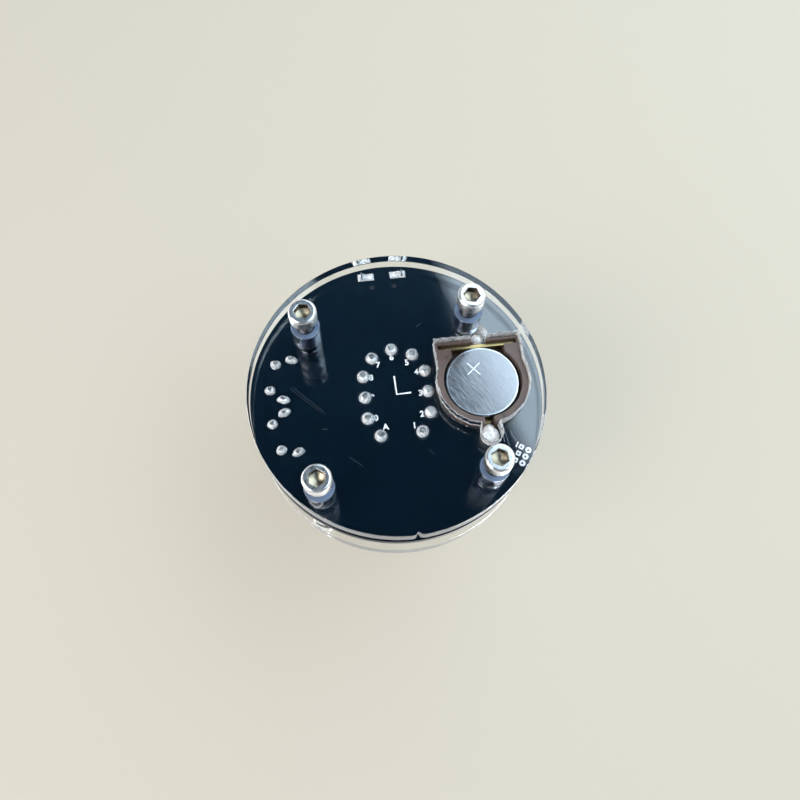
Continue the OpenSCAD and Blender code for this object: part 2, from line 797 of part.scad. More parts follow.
module snap_discs() {
    disc_d = button_d - 2 * button_clear;
    color([0.8, 0.8, 0.8]) for (side = [-1, 1]) at_switch(side)
        translate([switch_floor, 0, button_z]) rotate([0, 90, 0])
            cylinder(d = disc_d, h = snap_disc_t);
}

module button(side) {
    reach = switch_front + button_out;
    chamfer = 0.3;
    color([0.08, 0.08, 0.08]) at_switch(side) translate([0, 0, button_z]) rotate([0, 90, 0])
        rotate_extrude() polygon([
            [0, button_root], [button_d / 2, button_root], [button_d / 2, reach - chamfer],
            [button_d / 2 - chamfer, reach], [0, reach]]);
}

// ---------------------------------------------------------------- socket

module usb_shell() {
    color([0.75, 0.75, 0.75]) {
        difference() {
            block(0, usb_mouth_y - usb_depth / 2, board_top, usb_w, usb_depth, usb_h);
            block(0, usb_mouth_y - usb_depth / 2 + usb_t, board_top + usb_t,
                usb_w - 2 * usb_t, usb_depth, usb_h - 2 * usb_t);
            at_pegs() cylinder(d = usb_peg_d + hole_clear, h = board_t + 1);
        }
        for (s = [-1, 1])
            block(s * usb_leg_x, usb_leg_y, lead_tip_z, usb_t, usb_leg_w, board_top - lead_tip_z + 1);
    }
}

usb_core_y = usb_back_y + usb_t;
usb_core_l = 1.6;
usb_tongue_y = usb_core_y + usb_core_l;
usb_tongue_inset = 0.6;
usb_tip_y = usb_mouth_y - usb_tongue_inset;

// The pegs end a little inside the board
module at_pegs() {
    peg_short = 0.2;
    for (s = [-1, 1]) translate([s * usb_peg_pitch / 2, usb_peg_y, board_z + peg_short]) children();
}

module usb_insulator() {
    tongue_t = 0.6;
    tongue_side = 0.8;
    root_l = 0.5;
    inner_w = usb_w - 2 * usb_t;
    inner_h = usb_h - 2 * usb_t;
    color([0.1, 0.1, 0.1]) {
        translate([-inner_w / 2, usb_core_y, board_top + usb_t])
            cube([inner_w, usb_tongue_y - usb_core_y, inner_h]);
        translate([-inner_w / 2 + tongue_side, usb_tongue_y - root_l, board_top + usb_h / 2])
            cube([inner_w - 2 * tongue_side, usb_tip_y - usb_tongue_y + root_l, tongue_t]);
        at_pegs() cylinder(d = usb_peg_d, h = board_top + usb_t - board_z);
    }
}

module usb_contacts() {
    pitch = 0.65;
    strip_t = 0.1;
    strip_w = 0.35;
    strip_inset = 0.3;
    color([0.8, 0.65, 0.3]) for (k = [-2:2]) {
        translate([k * pitch - strip_w / 2, usb_tongue_y, board_top + usb_h / 2 - strip_t])
            cube([strip_w, usb_tip_y - usb_tongue_y - strip_inset, strip_t]);
        block(k * pitch, usb_back_y - usb_tail_l / 2, board_top, strip_w, usb_tail_l, strip_t * 2);
    }
}

// ---------------------------------------------------------------- board parts

// Body sizes of the chips, and how far their leads reach out
narrow_w = 3.9;
narrow_h = 1.4;
narrow_lead = 0.8;
clock_len = 4.9;
register_len = 9.9;
chip_pitch = 1.27;
chip_lift = 0.1;
lead_sheet = 0.15;
controller_h = 1;
controller_lead = 0.7;
controller_pitch = 0.8;
small_l = 2.9;
small_w = 1.3;
small_h = 1;
small_lead = 0.45;
small_pitch = 1.9;
rectifier_w = 2.6;
rectifier_l = 4.3;
rectifier_h = 2;
clip_l = 1.5;
clip_t = 0.4;
clip_h = 1;
hv_wire_d = 0.5;
hv_wire_run = 0.7;

// Two-terminal chips
chip_l = 2;
chip_w = 1.25;
resistor_h = 0.55;
ceramic_h = 1.1;
resistor_pitch = 2.2;
capacitor_pitch = 2;

// The socket's tails and the controller keep these distances from the rim
controller_inset = 6.1;
in_cap_inset = 6;
hv_cap_inset = 6;
regulator_inset = 6.4;

// Places at the rear and front of the board; the register lies midway between pins and socket
controller_at = [0, controller_inset - disc_r];
register_at = [0, (pin_end[0][1] + pin_d / 2 + usb_back_y - usb_tail_l) / 2];
clock_at = [8.6, -12.6];
crystal_at = [13, -8];
in_cap_at = [-8, disc_r - in_cap_inset];

// The coil and the high-voltage capacitor share the room between the two left spacers
left_from = screw_front + upper_spacer_d / 2;
left_to = screw_rear - upper_spacer_d / 2;
left_gap = (left_to - left_from - coil_w - hv_cap_len - hv_wire_run - hv_wire_d / 2) / 3;
coil_at = [-14, left_from + left_gap + coil_w / 2];
coil_end = coil_at[1] + coil_w / 2;
hv_cap_at = [hv_cap_inset - disc_r, coil_end + left_gap + hv_cap_len];

// Ten cathode transistors in two columns, then the regulator and the converter's transistor
transistor_x = 8.6;
transistor_pitch = 3.2;
transistor_side = transistor_x + small_l / 2;
converter_switch_at = [-8.2, -14.6];
small_places = concat(
    [for (s = [-1, 1], k = [-2:2]) [s * transistor_x, k * transistor_pitch]],
    [[7.6, disc_r - regulator_inset], converter_switch_at]);

// The rectifier lies midway between the high-voltage capacitor and the transistors
rectifier_at = [
    (hv_cap_at[0] + hv_cap_d / 2 - transistor_side) / 2,
    coil_end + left_gap + clip_t + rectifier_l / 2];

// Two columns of resistors share the room between the transistors and the switches
resistor_edge = 0.5;
right_to = bracket_r * cos(switch_angle) - resistor_edge;
right_gap = (right_to - transistor_side - 2 * chip_l) / 3;
resistor_x = transistor_side + right_gap + chip_l / 2;
resistor_columns = [[resistor_x, 0.4], [resistor_x + chip_l + right_gap, -1.2]];
resistor_places = [for (c = resistor_columns, k = [0:2]) [c[0], c[1] + resistor_pitch * k]];

// Two ceramic capacitors on each side of the controller, and one beside the converter's transistor
capacitor_gap = 1.25;
capacitor_drop = 0.4;
capacitor_step = 3.6;
capacitor_x = controller_w / 2 + controller_lead + lead_sheet + capacitor_gap + chip_l / 2;
capacitor_places = concat(
    [for (s = [-1, 1], k = [0, 1])
        [s * capacitor_x, controller_at[1] - capacitor_drop - capacitor_pitch * k]],
    [[converter_switch_at[0], converter_switch_at[1] + capacitor_step]]);

module controller() {
    color([0.08, 0.08, 0.09])
        block(controller_at[0], controller_at[1], board_top + chip_lift,
            controller_w, controller_w, controller_h);
}

module clock_chip() {
    color([0.08, 0.08, 0.09])
        block(clock_at[0], clock_at[1], board_top + chip_lift, clock_len, narrow_w, narrow_h);
}

module register_chip() {
    color([0.08, 0.08, 0.09])
        block(register_at[0], register_at[1], board_top + chip_lift, register_len, narrow_w, narrow_h);
}

// One bent lead beside a body: a foot that runs out along +X and a riser against the body's edge
module gull_lead(w, foot, rise) {
    translate([0, -w / 2, 0]) cube([foot + lead_sheet, w, lead_sheet]);
    translate([0, -w / 2, 0]) cube([lead_sheet, w, rise]);
}

// A row of leads along one side of a body that reaches half_body from its centre
module lead_row(count, pitch, half_body, w, foot, rise) {
    for (k = [0:count - 1]) translate([half_body, (k - (count - 1) / 2) * pitch, 0])
        gull_lead(w, foot, rise);
}

module chip_leads() {
    color([0.75, 0.75, 0.75]) translate([0, 0, board_top]) {
        translate([controller_at[0], controller_at[1], 0]) for (a = [0:90:270]) rotate([0, 0, a])
            lead_row(8, controller_pitch, controller_w / 2, 0.35, controller_lead, 0.5);
        for (a = [-90, 90]) {
            translate([clock_at[0], clock_at[1], 0]) rotate([0, 0, a])
                lead_row(4, chip_pitch, narrow_w / 2, 0.4, narrow_lead, 0.7);
            translate([register_at[0], register_at[1], 0]) rotate([0, 0, a])
                lead_row(8, chip_pitch, narrow_w / 2, 0.4, narrow_lead, 0.7);
        }
        for (p = small_places) translate([p[0], p[1], 0]) {
            rotate([0, 0, -90]) lead_row(2, small_pitch, small_w / 2, 0.4, small_lead, 0.5);
            rotate([0, 0, 90]) lead_row(1, small_pitch, small_w / 2, 0.4, small_lead, 0.5);
        }
    }
}

module small_transistors() {
    color([0.08, 0.08, 0.09]) for (p = small_places)
        block(p[0], p[1], board_top + chip_lift, small_l, small_w, small_h);
}

module converter_coil() {
    base_h = 0.6;
    rim = 0.15;
    wall = 0.6;
    groove = 0.55;
    core_d = coil_w - 2 * (rim + wall + groove);
    color([0.2, 0.2, 0.22]) translate([coil_at[0], coil_at[1], board_top]) {
        block(0, 0, 0, coil_w, coil_w, base_h);
        translate([0, 0, base_h]) ring(coil_w - 2 * rim, coil_w - 2 * (rim + wall), coil_h - base_h);
        translate([0, 0, base_h]) cylinder(d = core_d, h = coil_h - base_h);
    }
}

// The capacitor lies on the board along Y, with its two wires bent down at the rear
module hv_capacitor() {
    axis_h = hv_cap_d / 2;
    wire_pitch = 2.5;
    groove_at = 0.9;
    groove_w = 0.7;
    groove_depth = 0.25;
    translate([hv_cap_at[0], hv_cap_at[1], board_top]) {
        color([0.12, 0.14, 0.3]) translate([0, 0, axis_h]) rotate([90, 0, 0]) difference() {
            cylinder(d = hv_cap_d, h = hv_cap_len);
            translate([0, 0, groove_at]) ring(hv_cap_d + 1, hv_cap_d - 2 * groove_depth, groove_w);
        }
        color([0.75, 0.75, 0.75]) for (s = [-1, 1]) translate([s * wire_pitch / 2, hv_wire_run, 0]) {
            cylinder(d = hv_wire_d, h = axis_h + hv_wire_d / 2);
            translate([0, 0, axis_h]) rotate([90, 0, 0]) cylinder(d = hv_wire_d, h = hv_wire_run);
        }
    }
}

module input_capacitor() {
    foot_h = 0.6;
    foot_rim = 0.15;
    foot_w = in_cap_d + 2 * foot_rim;
    corner = 1.2;
    color([0.75, 0.75, 0.78]) translate([in_cap_at[0], in_cap_at[1], board_top]) {
        difference() {
            block(0, 0, 0, foot_w, foot_w, foot_h);
            for (s = [-1, 1]) translate([s * foot_w / 2, foot_w / 2, 0])
                rotate([0, 0, 45]) block(0, 0, -1, corner, corner, foot_h + 2);
        }
        translate([0, 0, foot_h]) cylinder(d = in_cap_d, h = in_cap_h - foot_h);
    }
}

module crystal() {
    wire_d = 0.3;
    wire_pitch = 0.8;
    wire_run = 1;
    axis_h = crystal_d / 2;
    color([0.8, 0.8, 0.8]) translate([crystal_at[0], crystal_at[1], board_top]) {
        translate([0, 0, axis_h]) rotate([-90, 0, 0]) cylinder(d = crystal_d, h = crystal_len);
        for (s = [-1, 1]) translate([s * wire_pitch / 2, 0, 0]) {
            translate([0, 0, axis_h]) rotate([90, 0, 0]) cylinder(d = wire_d, h = wire_run);
            translate([0, -wire_run, 0]) cylinder(d = wire_d, h = axis_h + wire_d / 2);
        }
    }
}

module rectifier() {
    translate([rectifier_at[0], rectifier_at[1], board_top]) {
        color([0.1, 0.1, 0.1]) block(0, 0, chip_lift, rectifier_w, rectifier_l, rectifier_h);
        color([0.75, 0.75, 0.75]) for (s = [-1, 1])
            block(0, s * (rectifier_l + clip_t) / 2, 0, clip_l, clip_t, clip_h);
    }
}

module resistors() {
    color([0.1, 0.1, 0.1]) for (p = resistor_places)
        block(p[0], p[1], board_top, chip_l, chip_w, resistor_h);
}

module ceramic_capacitors() {
    color([0.7, 0.55, 0.4]) for (p = capacitor_places)
        block(p[0], p[1], board_top, chip_l, chip_w, ceramic_h);
}

// One column of three holes near the rim: column 0 is the outer one
module at_header(column) {
    rotate([0, 0, header_angle]) translate([disc_r - header_inset - column * header_pitch, 0, 0])
        for (k = [-1:1]) translate([0, k * header_pitch, 0]) children();
}

// Tinned rings round the outer holes and square ones round the inner holes
module header_rings() {
    ring_t = 0.06;
    ring_w = 0.225;
    pad = header_hole_d + 2 * ring_w;
    color([0.75, 0.75, 0.75]) translate([0, 0, board_z - ring_t]) {
        at_header(0) ring(pad, header_hole_d, ring_t);
        at_header(1) difference() {
            block(0, 0, 0, pad, pad, ring_t);
            translate([0, 0, -1]) cylinder(d = header_hole_d, h = ring_t + 2);
        }
    }
}

// ---------------------------------------------------------------- solder

module pin_solder() {
    color([0.8, 0.8, 0.82]) difference() {
        at_pins() solder_dome(solder_r, solder_h);
        at_pins() cylinder(d = pin_d, h = inf);
    }
}

module switch_solder() {
    signal_joint_r = 0.9;
    bracket_joint_r = 1;
    color([0.8, 0.8, 0.82]) for (side = [-1, 1], s = [-1, 1]) at_switch(side) {
        difference() {
            translate([signal_r, s * signal_pitch / 2, 0]) solder_dome(signal_joint_r, solder_h);
            block(signal_r, s * signal_pitch / 2, 0, lead_t, lead_w, inf);
        }
        difference() {
            translate([bracket_r, s * bracket_pitch / 2, 0]) solder_dome(bracket_joint_r, solder_h);
            block(bracket_r, s * bracket_pitch / 2, 0, lead_w, bracket_t, inf);
        }
    }
}

module usb_solder() {
    color([0.8, 0.8, 0.82]) for (s = [-1, 1]) difference() {
        block(s * (usb_leg_x - usb_pad_shift), usb_leg_y, board_z - usb_pad_h,
            usb_pad_l, usb_pad_w, usb_pad_h);
        block(s * usb_leg_x, usb_leg_y, 0, usb_t, usb_leg_w, inf);
    }
}

module holder_solder() {
    color([0.8, 0.8, 0.82]) at_cell() {
        difference() {
            translate([positive_tab_x, positive_blob_y, 0])
                swollen_joint(positive_blob_r, positive_foot_r);
            block(positive_tab_x, bar_y, board_z - tab_t, tab_w, 2 * (positive_tab_y - bar_y), tab_t + 1);
        }
        difference() {
            translate([0, -negative_blob_y, 0]) swollen_joint(negative_blob_r, negative_foot_r);
            block(0, 0, board_z - tab_t, tab_w, 2 * negative_tab_y, tab_t + 1);
        }
    }
}

base_plate();
circuit_board();
top_plate();
foot_screws();
foot_sleeves();
lower_spacers();
upper_spacers();
nuts();
tube_glass();
tube_pins();
stem_insulator();
shield_can();
anode_mesh();
digit(0);  // digit_0
digit(1);  // digit_1
digit(2);  // digit_2
digit(3);  // digit_3
digit(4);  // digit_4
digit(5);  // digit_5
digit(6);  // digit_6
digit(7);  // digit_7
digit(8);  // digit_8
digit(9);  // digit_9
support_rods();
ceramic_spacers();
getter();
holder_body();
positive_contact();
negative_contact();
cell_can();
cell_gasket();
cell_cap();
switch_bodies();
switch_brackets();
switch_leads();
snap_discs();
button(1);  // rear_button
button(-1);  // front_button
usb_shell();
usb_insulator();
usb_contacts();
controller();
clock_chip();
register_chip();
small_transistors();
chip_leads();
converter_coil();
hv_capacitor();
input_capacitor();
crystal();
rectifier();
resistors();
ceramic_capacitors();
header_rings();
pin_solder();
switch_solder();
usb_solder();
holder_solder();
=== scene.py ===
"""The looks of a single-tube clock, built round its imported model.

The clock stands on four screw heads at Z = 0 and its tube points up. The camera looks at its
underside, as it lies on the face of its tube. Lengths are in millimetres until add_piece.
"""

from math import cos, hypot, pi, radians, sin, sqrt

import bmesh
import bpy
from mathutils import Matrix, Vector, noise

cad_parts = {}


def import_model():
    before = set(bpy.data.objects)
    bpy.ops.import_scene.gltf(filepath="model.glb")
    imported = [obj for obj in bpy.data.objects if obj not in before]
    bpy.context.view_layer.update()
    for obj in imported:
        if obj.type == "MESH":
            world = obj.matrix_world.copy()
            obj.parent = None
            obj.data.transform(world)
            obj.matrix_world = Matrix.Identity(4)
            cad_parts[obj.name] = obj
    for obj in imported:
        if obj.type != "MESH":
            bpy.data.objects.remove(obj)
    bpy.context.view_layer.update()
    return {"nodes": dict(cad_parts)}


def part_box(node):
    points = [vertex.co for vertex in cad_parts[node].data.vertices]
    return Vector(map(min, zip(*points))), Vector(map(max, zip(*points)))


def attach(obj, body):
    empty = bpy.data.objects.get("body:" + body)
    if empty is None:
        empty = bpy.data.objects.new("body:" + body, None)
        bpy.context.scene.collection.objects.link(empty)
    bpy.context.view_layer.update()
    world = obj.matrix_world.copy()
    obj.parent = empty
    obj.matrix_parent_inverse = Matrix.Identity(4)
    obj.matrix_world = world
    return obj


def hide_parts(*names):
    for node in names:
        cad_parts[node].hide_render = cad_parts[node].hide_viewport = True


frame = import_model()

MM = 0.001
TAU = 2 * pi

# ---- sizes, in millimetres


def low(node):
    """The lowest corner of a node."""
    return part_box(node)[0] / MM


def high(node):
    """The highest corner of a node."""
    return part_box(node)[1] / MM


def middle(node):
    return (low(node) + high(node)) / 2


def half_width(node):
    return (high(node).x - low(node).x) / 2


DISC_R = high("base_plate").x
BASE_Z = low("base_plate").z
BASE_TOP = high("base_plate").z
BOARD_Z = low("circuit_board").z
BOARD_TOP = high("circuit_board").z
PLATE_EDGE = 0.1
NICK_ANGLE = radians(-91)
NICK_R = 0.45

HEAD_R = 2.25
HEAD_H = 2.5
THREAD_R = 1.25
THREAD_PITCH = 0.45
SCREW_HOLE_R = 1.3
HEX_HALF = 1.2
HEX_DEPTH = 1.4
SCREWS = [
    (x, y)
    for x in (low("foot_screws").x + HEAD_R, high("foot_screws").x - HEAD_R)
    for y in (low("foot_screws").y + HEAD_R, high("foot_screws").y - HEAD_R)
]
# How far each screw is turned, in degrees
SCREW_TURNS = [-1, 42.4, 3.7, 39.4]

# The pins stand on an oval with straight sides, and its place at the front is empty
PIN_R = 5.45
PIN_CENTRES = 5.9
PIN_STEP = radians(40.4)
PIN_TIP = low("tube_pins").z

CELL = middle("cell_can")
CELL_R = half_width("cell_can")
CELL_Z = low("cell_can").z
CELL_TOP = high("cell_can").z
HOLDER_R = CELL.y - low("holder_body").y
HOLDER_END_Y = high("holder_body").y - CELL.y
HOLDER_END_X = 7.25
CUTOUT_GAP = 0.2
BLOB_GAP = 0.15
# The two solder joints of the holder: where they hang, and how far they swell
POSITIVE_R = 1.2
NEGATIVE_R = 1.65
POSITIVE_AT = Vector((CELL.x - 0.45, high("holder_solder").y - POSITIVE_R, 0))
NEGATIVE_AT = Vector((CELL.x, low("holder_solder").y + NEGATIVE_R, 0))

SWITCH_ANGLE = radians(14.5)
SWITCH_SIDES = {"rear": 1, "front": -1}
SIGNAL_R = 21.5
SIGNAL_PITCH = 4.8
BRACKET_R = 18.97
BRACKET_PITCH = 7.4
SWITCH_W = 6.0
SWITCH_BACK = BRACKET_R + 0.35
SWITCH_FRONT = SWITCH_BACK + 3.5
BUTTON_Z = low("switch_bodies").z + SWITCH_W / 2
BUTTON_R = 1.7
BUTTON_TIP = 24.42

SOCKET_Y = middle("usb_solder").y
SOCKET_PEGS = [(-2.0, 20.94), (2.0, 20.94)]

TUBE_HALF_W = high("tube_glass").x
TUBE_HALF_L = high("tube_glass").y
TUBE_Z = BOARD_TOP + 2.5
TUBE_TOP = high("tube_glass").z
GLASS_T = 1.2
STEM_T = 2.0

HEADER_ANGLE = radians(213.8)
HEADER_R = 24.1
HEADER_PITCH = 1.27

# Where each pin digit is printed on the board, and how large and thick
LABELS = {
    "6": (0.1, 6.95), "5": (-2.45, 5.7), "7": (2.6, 5.8), "4": (-3.9, 3.75), "8": (4.05, 3.55),
    "3": (-4.1, -0.2), "9": (4.2, -0.05), "2": (-3.85, -4.0), "0": (4.0, -3.85), "1": (-2.3, -5.9),
    "A": (2.55, -5.6),
}
LABEL_SIZE = 1.45
PRINT_T = 0.02

# ---- materials


def rgba(color, factor=1.0):
    return (*(min(1.0, c * factor) for c in color), 1.0)


def setting(thing, **fields):
    """Sets fields of a thing and gives it back."""
    for key, value in fields.items():
        setattr(thing, key, value)
    return thing


def fill(node, inputs):
    """Sets a node's inputs: an output of another node is linked, anything else is the value."""
    for key, value in inputs.items():
        if isinstance(value, bpy.types.NodeSocket):
            node.id_data.links.new(value, node.inputs[key])
        else:
            node.inputs[key].default_value = value


def shade(tree, kind, output, inputs=None, **fields):
    """Adds a shader node and gives one of its outputs."""
    node = setting(tree.nodes.new("ShaderNode" + kind), **fields)
    fill(node, inputs or {})
    return node.outputs[output]


def math_node(tree, operation, *values):
    return shade(tree, "Math", "Value", dict(enumerate(values)), operation=operation)


def material(name, color, rough, metal=0.0, vary=0.12, scale=900.0, stretch=(1, 1, 1),
             wear=0.06, bump=0.15, grit=2600.0, bump_mm=0.01, turn=0.0, sockets=None):
    """A finish whose colour and roughness drift with one noise and whose relief is another.

    wear is how far the roughness drifts, and grit the scale of the relief. stretch draws both
    noises out into grain, turn rotates them about Z, and sockets are values for the shader's own
    inputs.
    """
    if name in bpy.data.materials:
        bpy.data.materials[name].name = "packed_" + name
    mat = bpy.data.materials.new(name)
    mat.use_nodes = True
    tree = mat.node_tree
    grain = shade(tree, "Mapping", "Vector", {
        "Vector": shade(tree, "TexCoord", "Object"), "Scale": tuple(1 / s for s in stretch),
        "Rotation": (0, 0, turn)}, vector_type="TEXTURE")
    drift = shade(tree, "TexNoise", "Fac", {"Vector": grain, "Scale": scale, "Detail": 4})
    tint = shade(tree, "Mix", "Result", {
        "Factor": drift, "A": rgba(color, 1 - vary), "B": rgba(color, 1 + vary)}, data_type="RGBA")
    worn = shade(tree, "MapRange", "Result", {
        "Value": drift, "From Min": 0.3, "From Max": 0.7,
        "To Min": max(0.0, rough - wear), "To Max": rough + wear})
    inputs = {"Base Color": tint, "Roughness": worn, "Metallic": metal, **(sockets or {})}
    if bump:
        relief = shade(tree, "TexNoise", "Fac", {
            "Vector": grain, "Scale": grit, "Detail": 3})
        inputs["Normal"] = shade(tree, "Bump", "Normal", {
            "Height": relief, "Strength": bump, "Distance": bump_mm * MM})
    fill(tree.nodes["Principled BSDF"], inputs)
    return mat


def side_tint(mat, color, rough):
    """Gives the upright faces of a sheet another colour, such as a board's cut edge."""
    tree = mat.node_tree
    shader = tree.nodes["Principled BSDF"]
    normal = shade(tree, "NewGeometry", "True Normal")
    lift = math_node(tree, "ABSOLUTE", shade(tree, "SeparateXYZ", "Z", {"Vector": normal}))
    upright = math_node(tree, "LESS_THAN", lift, 0.4)
    for key, value, kind in (("Base Color", rgba(color), "RGBA"), ("Roughness", rough, "FLOAT")):
        level = shader.inputs[key].links[0].from_socket
        fill(shader, {key: shade(tree, "Mix", "Result", {
            "Factor": upright, "A": level, "B": value}, data_type=kind)})
    return mat


def clear(name, color, rough, ior, share=1.0, **options):
    """A see-through finish. Its share is how much of the light goes through."""
    sockets = {"Transmission Weight": share, "IOR": ior}
    return material(name, color, rough, sockets=sockets, **options)


def metal(name, color, rough, **options):
    return material(name, color, rough, metal=1.0, **options)


def brushed(name, color, rough, **options):
    """A metal with fine scratches that run one way."""
    return metal(name, color, rough, stretch=(0.08, 1, 1), **options)


ACRYLIC = clear(
    "clear_acrylic", (0.985, 0.99, 0.99), 0.015, 1.49, vary=0.01, scale=120, wear=0.015,
    bump=0.0)
SAWN = clear(
    "sawn_acrylic", (0.8, 0.82, 0.84), 0.3, 1.49, 0.4, vary=0.8, scale=1700, wear=0.15,
    bump=1.0, grit=1800, bump_mm=0.2)
CUT_WALL = clear(
    "cut_wall", (0.9, 0.92, 0.94), 0.1, 1.49, vary=0.05, bump=0.6, grit=1500, bump_mm=0.05)
SCRATCH = clear("plate_scratch", (0.3, 0.34, 0.38), 0.5, 1.49, 0.75)
BOARD = side_tint(
    material("board_lacquer", (0.0012, 0.004, 0.008), 0.07, vary=0.3, scale=90, wear=0.03,
             bump=0.12, grit=700, bump_mm=0.006),
    (0.012, 0.011, 0.009), 0.55)
TRACE = material("board_trace", (0.12, 0.15, 0.2), 0.3, vary=0.3, scale=2000, bump=0.1)
RING = material("board_ring", (0.03, 0.04, 0.06), 0.2, bump=0.1)
INK = material(
    "board_print", (0.93, 0.94, 0.96), 0.55, vary=0.06, bump=0.3, grit=5000, bump_mm=0.004)
STEEL = metal(
    "screw_steel", (0.8, 0.8, 0.79), 0.3, vary=0.08, scale=1200, wear=0.07, grit=3500,
    bump_mm=0.006)
# Painted shade: the bare thread is painted near black for the shade and dark reflection under the
# head. It is the same steel as the head.
SHADED_THREAD = metal("screw_thread", (0.06, 0.063, 0.072), 0.38, vary=0.2)
# Painted shade and light in each socket, which is the head's steel. Its walls are painted dark as
# shade, and its floor is a warmer, dimmer copy of the steel, a painted reflection of the light it
# catches.
RECESS_WALL_SHADE = metal("screw_recess_wall", (0.13, 0.11, 0.09), 0.32, vary=0.35, scale=1500, bump=0.3)
RECESS_FLOOR_REFLECTION = metal(
    "screw_recess", (0.58, 0.5, 0.36), 0.42, vary=0.35, scale=1500, wear=0.08, bump=0.4,
    grit=2500, bump_mm=0.02)
SLEEVE = clear(
    "foot_sleeve", (0.55, 0.62, 0.74), 0.06, 1.45, vary=0.05, scale=400, wear=0.04,
    stretch=(1, 1, 0.1), bump=0.3, grit=1500, bump_mm=0.03)
SLEEVE_END = clear(
    "sleeve_end", (0.13, 0.185, 0.29), 0.4, 1.45, 0.35, vary=0.15, scale=2000, bump=0.4,
    bump_mm=0.02)
NYLON = clear("nylon", (0.86, 0.86, 0.83), 0.38, 1.53, 0.15, vary=0.03, grit=1200)
GLASS = clear(
    "tube_glass", (0.985, 0.99, 0.985), 0.0, 1.5, vary=0.008, scale=60, wear=0.008,
    bump=0.05, grit=120, bump_mm=0.05)
PIN = metal("pin_wire", (0.68, 0.67, 0.64), 0.28, bump=0.2, bump_mm=0.008)
CERAMIC = material(
    "ceramic", (0.84, 0.81, 0.73), 0.6, vary=0.06, bump=0.3, grit=3000, bump_mm=0.012)
SHIELD = material("shield_metal", (0.075, 0.075, 0.08), 0.42, metal=0.7, vary=0.25, bump=0.2)
MESH = metal("mesh_metal", (0.46, 0.46, 0.46), 0.35, bump=0.1)
DIGIT = metal("digit_metal", (0.56, 0.5, 0.44), 0.34, vary=0.15)
GETTER = material("getter_metal", (0.2, 0.2, 0.21), 0.45, metal=0.9, vary=0.2, bump=0.3)
HOLDER = material(
    "holder_plastic", (0.085, 0.055, 0.045), 0.42, vary=0.65, scale=700, wear=0.15, bump=0.7,
    grit=1500, bump_mm=0.05)
CONTACT = brushed(
    "contact_metal", (0.5, 0.38, 0.17), 0.3, vary=0.5, scale=3500, bump=0.5, bump_mm=0.02)
CELL_STEEL = metal(
    "cell_steel", (0.31, 0.31, 0.325), 0.21, vary=0.2, scale=11000, stretch=(0.05, 1, 1),
    wear=0.1, bump=0.35, grit=15000, bump_mm=0.008, turn=radians(60))
CELL_SIDE = metal("cell_side", (0.6, 0.62, 0.66), 0.22, bump=0.08)
MARK = material("cell_mark", (0.86, 0.88, 0.9), 0.35, metal=0.6, vary=0.06, bump=0.2)
GASKET = material("gasket", (0.015, 0.015, 0.016), 0.6, bump=0.2)
BLACK = material(
    "switch_plastic", (0.018, 0.018, 0.019), 0.42, vary=0.2, bump=0.35, grit=1800,
    bump_mm=0.015)
TINNED = brushed("tinned_sheet", (0.66, 0.66, 0.65), 0.3, vary=0.1)
BUTTON = material(
    "button_plastic", (0.022, 0.022, 0.023), 0.33, vary=0.2, bump=0.25, grit=1500,
    bump_mm=0.012)
SHELL = brushed("socket_shell", (0.64, 0.64, 0.64), 0.26, vary=0.08, bump=0.12)
GILT = metal("gilt_contact", (0.72, 0.52, 0.2), 0.24, bump=0.08)
RESIN = material(
    "chip_resin", (0.022, 0.022, 0.024), 0.5, vary=0.2, scale=1400, bump=0.5, grit=4200,
    bump_mm=0.012)
LEAD = metal("chip_lead", (0.62, 0.62, 0.6), 0.32)
FERRITE = material("ferrite", (0.05, 0.05, 0.055), 0.55, vary=0.2, bump=0.4, bump_mm=0.02)
WINDING = metal("winding", (0.5, 0.2, 0.07), 0.3, vary=0.15, bump=0.1)
CAP_SLEEVE = material(
    "capacitor_sleeve", (0.012, 0.016, 0.06), 0.22, vary=0.15, scale=300, grit=500,
    bump_mm=0.02, sockets={"Coat Weight": 0.3, "Coat Roughness": 0.15})
CAP_CAN = brushed("capacitor_can", (0.72, 0.72, 0.74), 0.28, vary=0.08, bump=0.12)
RUBBER = material("capacitor_seal", (0.03, 0.03, 0.03), 0.7, bump=0.3)
CRYSTAL = brushed("crystal_can", (0.7, 0.7, 0.7), 0.22, vary=0.06, bump=0.08)
RESISTOR = material("resistor", (0.02, 0.02, 0.021), 0.3, bump=0.1)
CERAMIC_CAP = material("ceramic_capacitor", (0.4, 0.27, 0.15), 0.5, vary=0.1, bump=0.2)
SOLDER = material(
    "solder", (0.93, 0.94, 0.97), 0.27, metal=0.35, vary=0.42, scale=2000, wear=0.12,
    bump=0.8, grit=1300, bump_mm=0.1)
# Painted reflection: the cut wire in each joint's middle is painted dark navy for the dark
# surroundings that its shiny end mirrors.
SOLDER_TIP_DARK_REFLECTION = metal(
    "solder_tip", (0.05, 0.055, 0.09), 0.35, vary=0.9, scale=2400, bump=0.6, grit=2200,
    bump_mm=0.05)
PAD = material("header_pad", (0.88, 0.89, 0.92), 0.34, metal=0.35, vary=0.05, bump=0.2)

# The imported nodes that are shown as they are, each under its finish
NODE_FINISHES = [
    (BOARD, "circuit_board"), (HOLDER, "holder_body"),
    (CONTACT, "positive_contact negative_contact"), (GASKET, "cell_gasket"),
    (CELL_STEEL, "cell_cap"), (BLACK, "switch_bodies usb_insulator"),
    (TINNED, "switch_brackets switch_leads snap_discs"), (GILT, "usb_contacts"),
    (RESIN, "controller clock_chip register_chip small_transistors rectifier"),
    (LEAD, "chip_leads"), (RESISTOR, "resistors"), (CERAMIC_CAP, "ceramic_capacitors"),
    (PIN, "tube_pins"), (CERAMIC, "stem_insulator ceramic_spacers"), (SHIELD, "shield_can"),
    (MESH, "support_rods"), (GETTER, "getter"),
    (DIGIT, " ".join(f"digit_{value}" for value in range(10))),
]

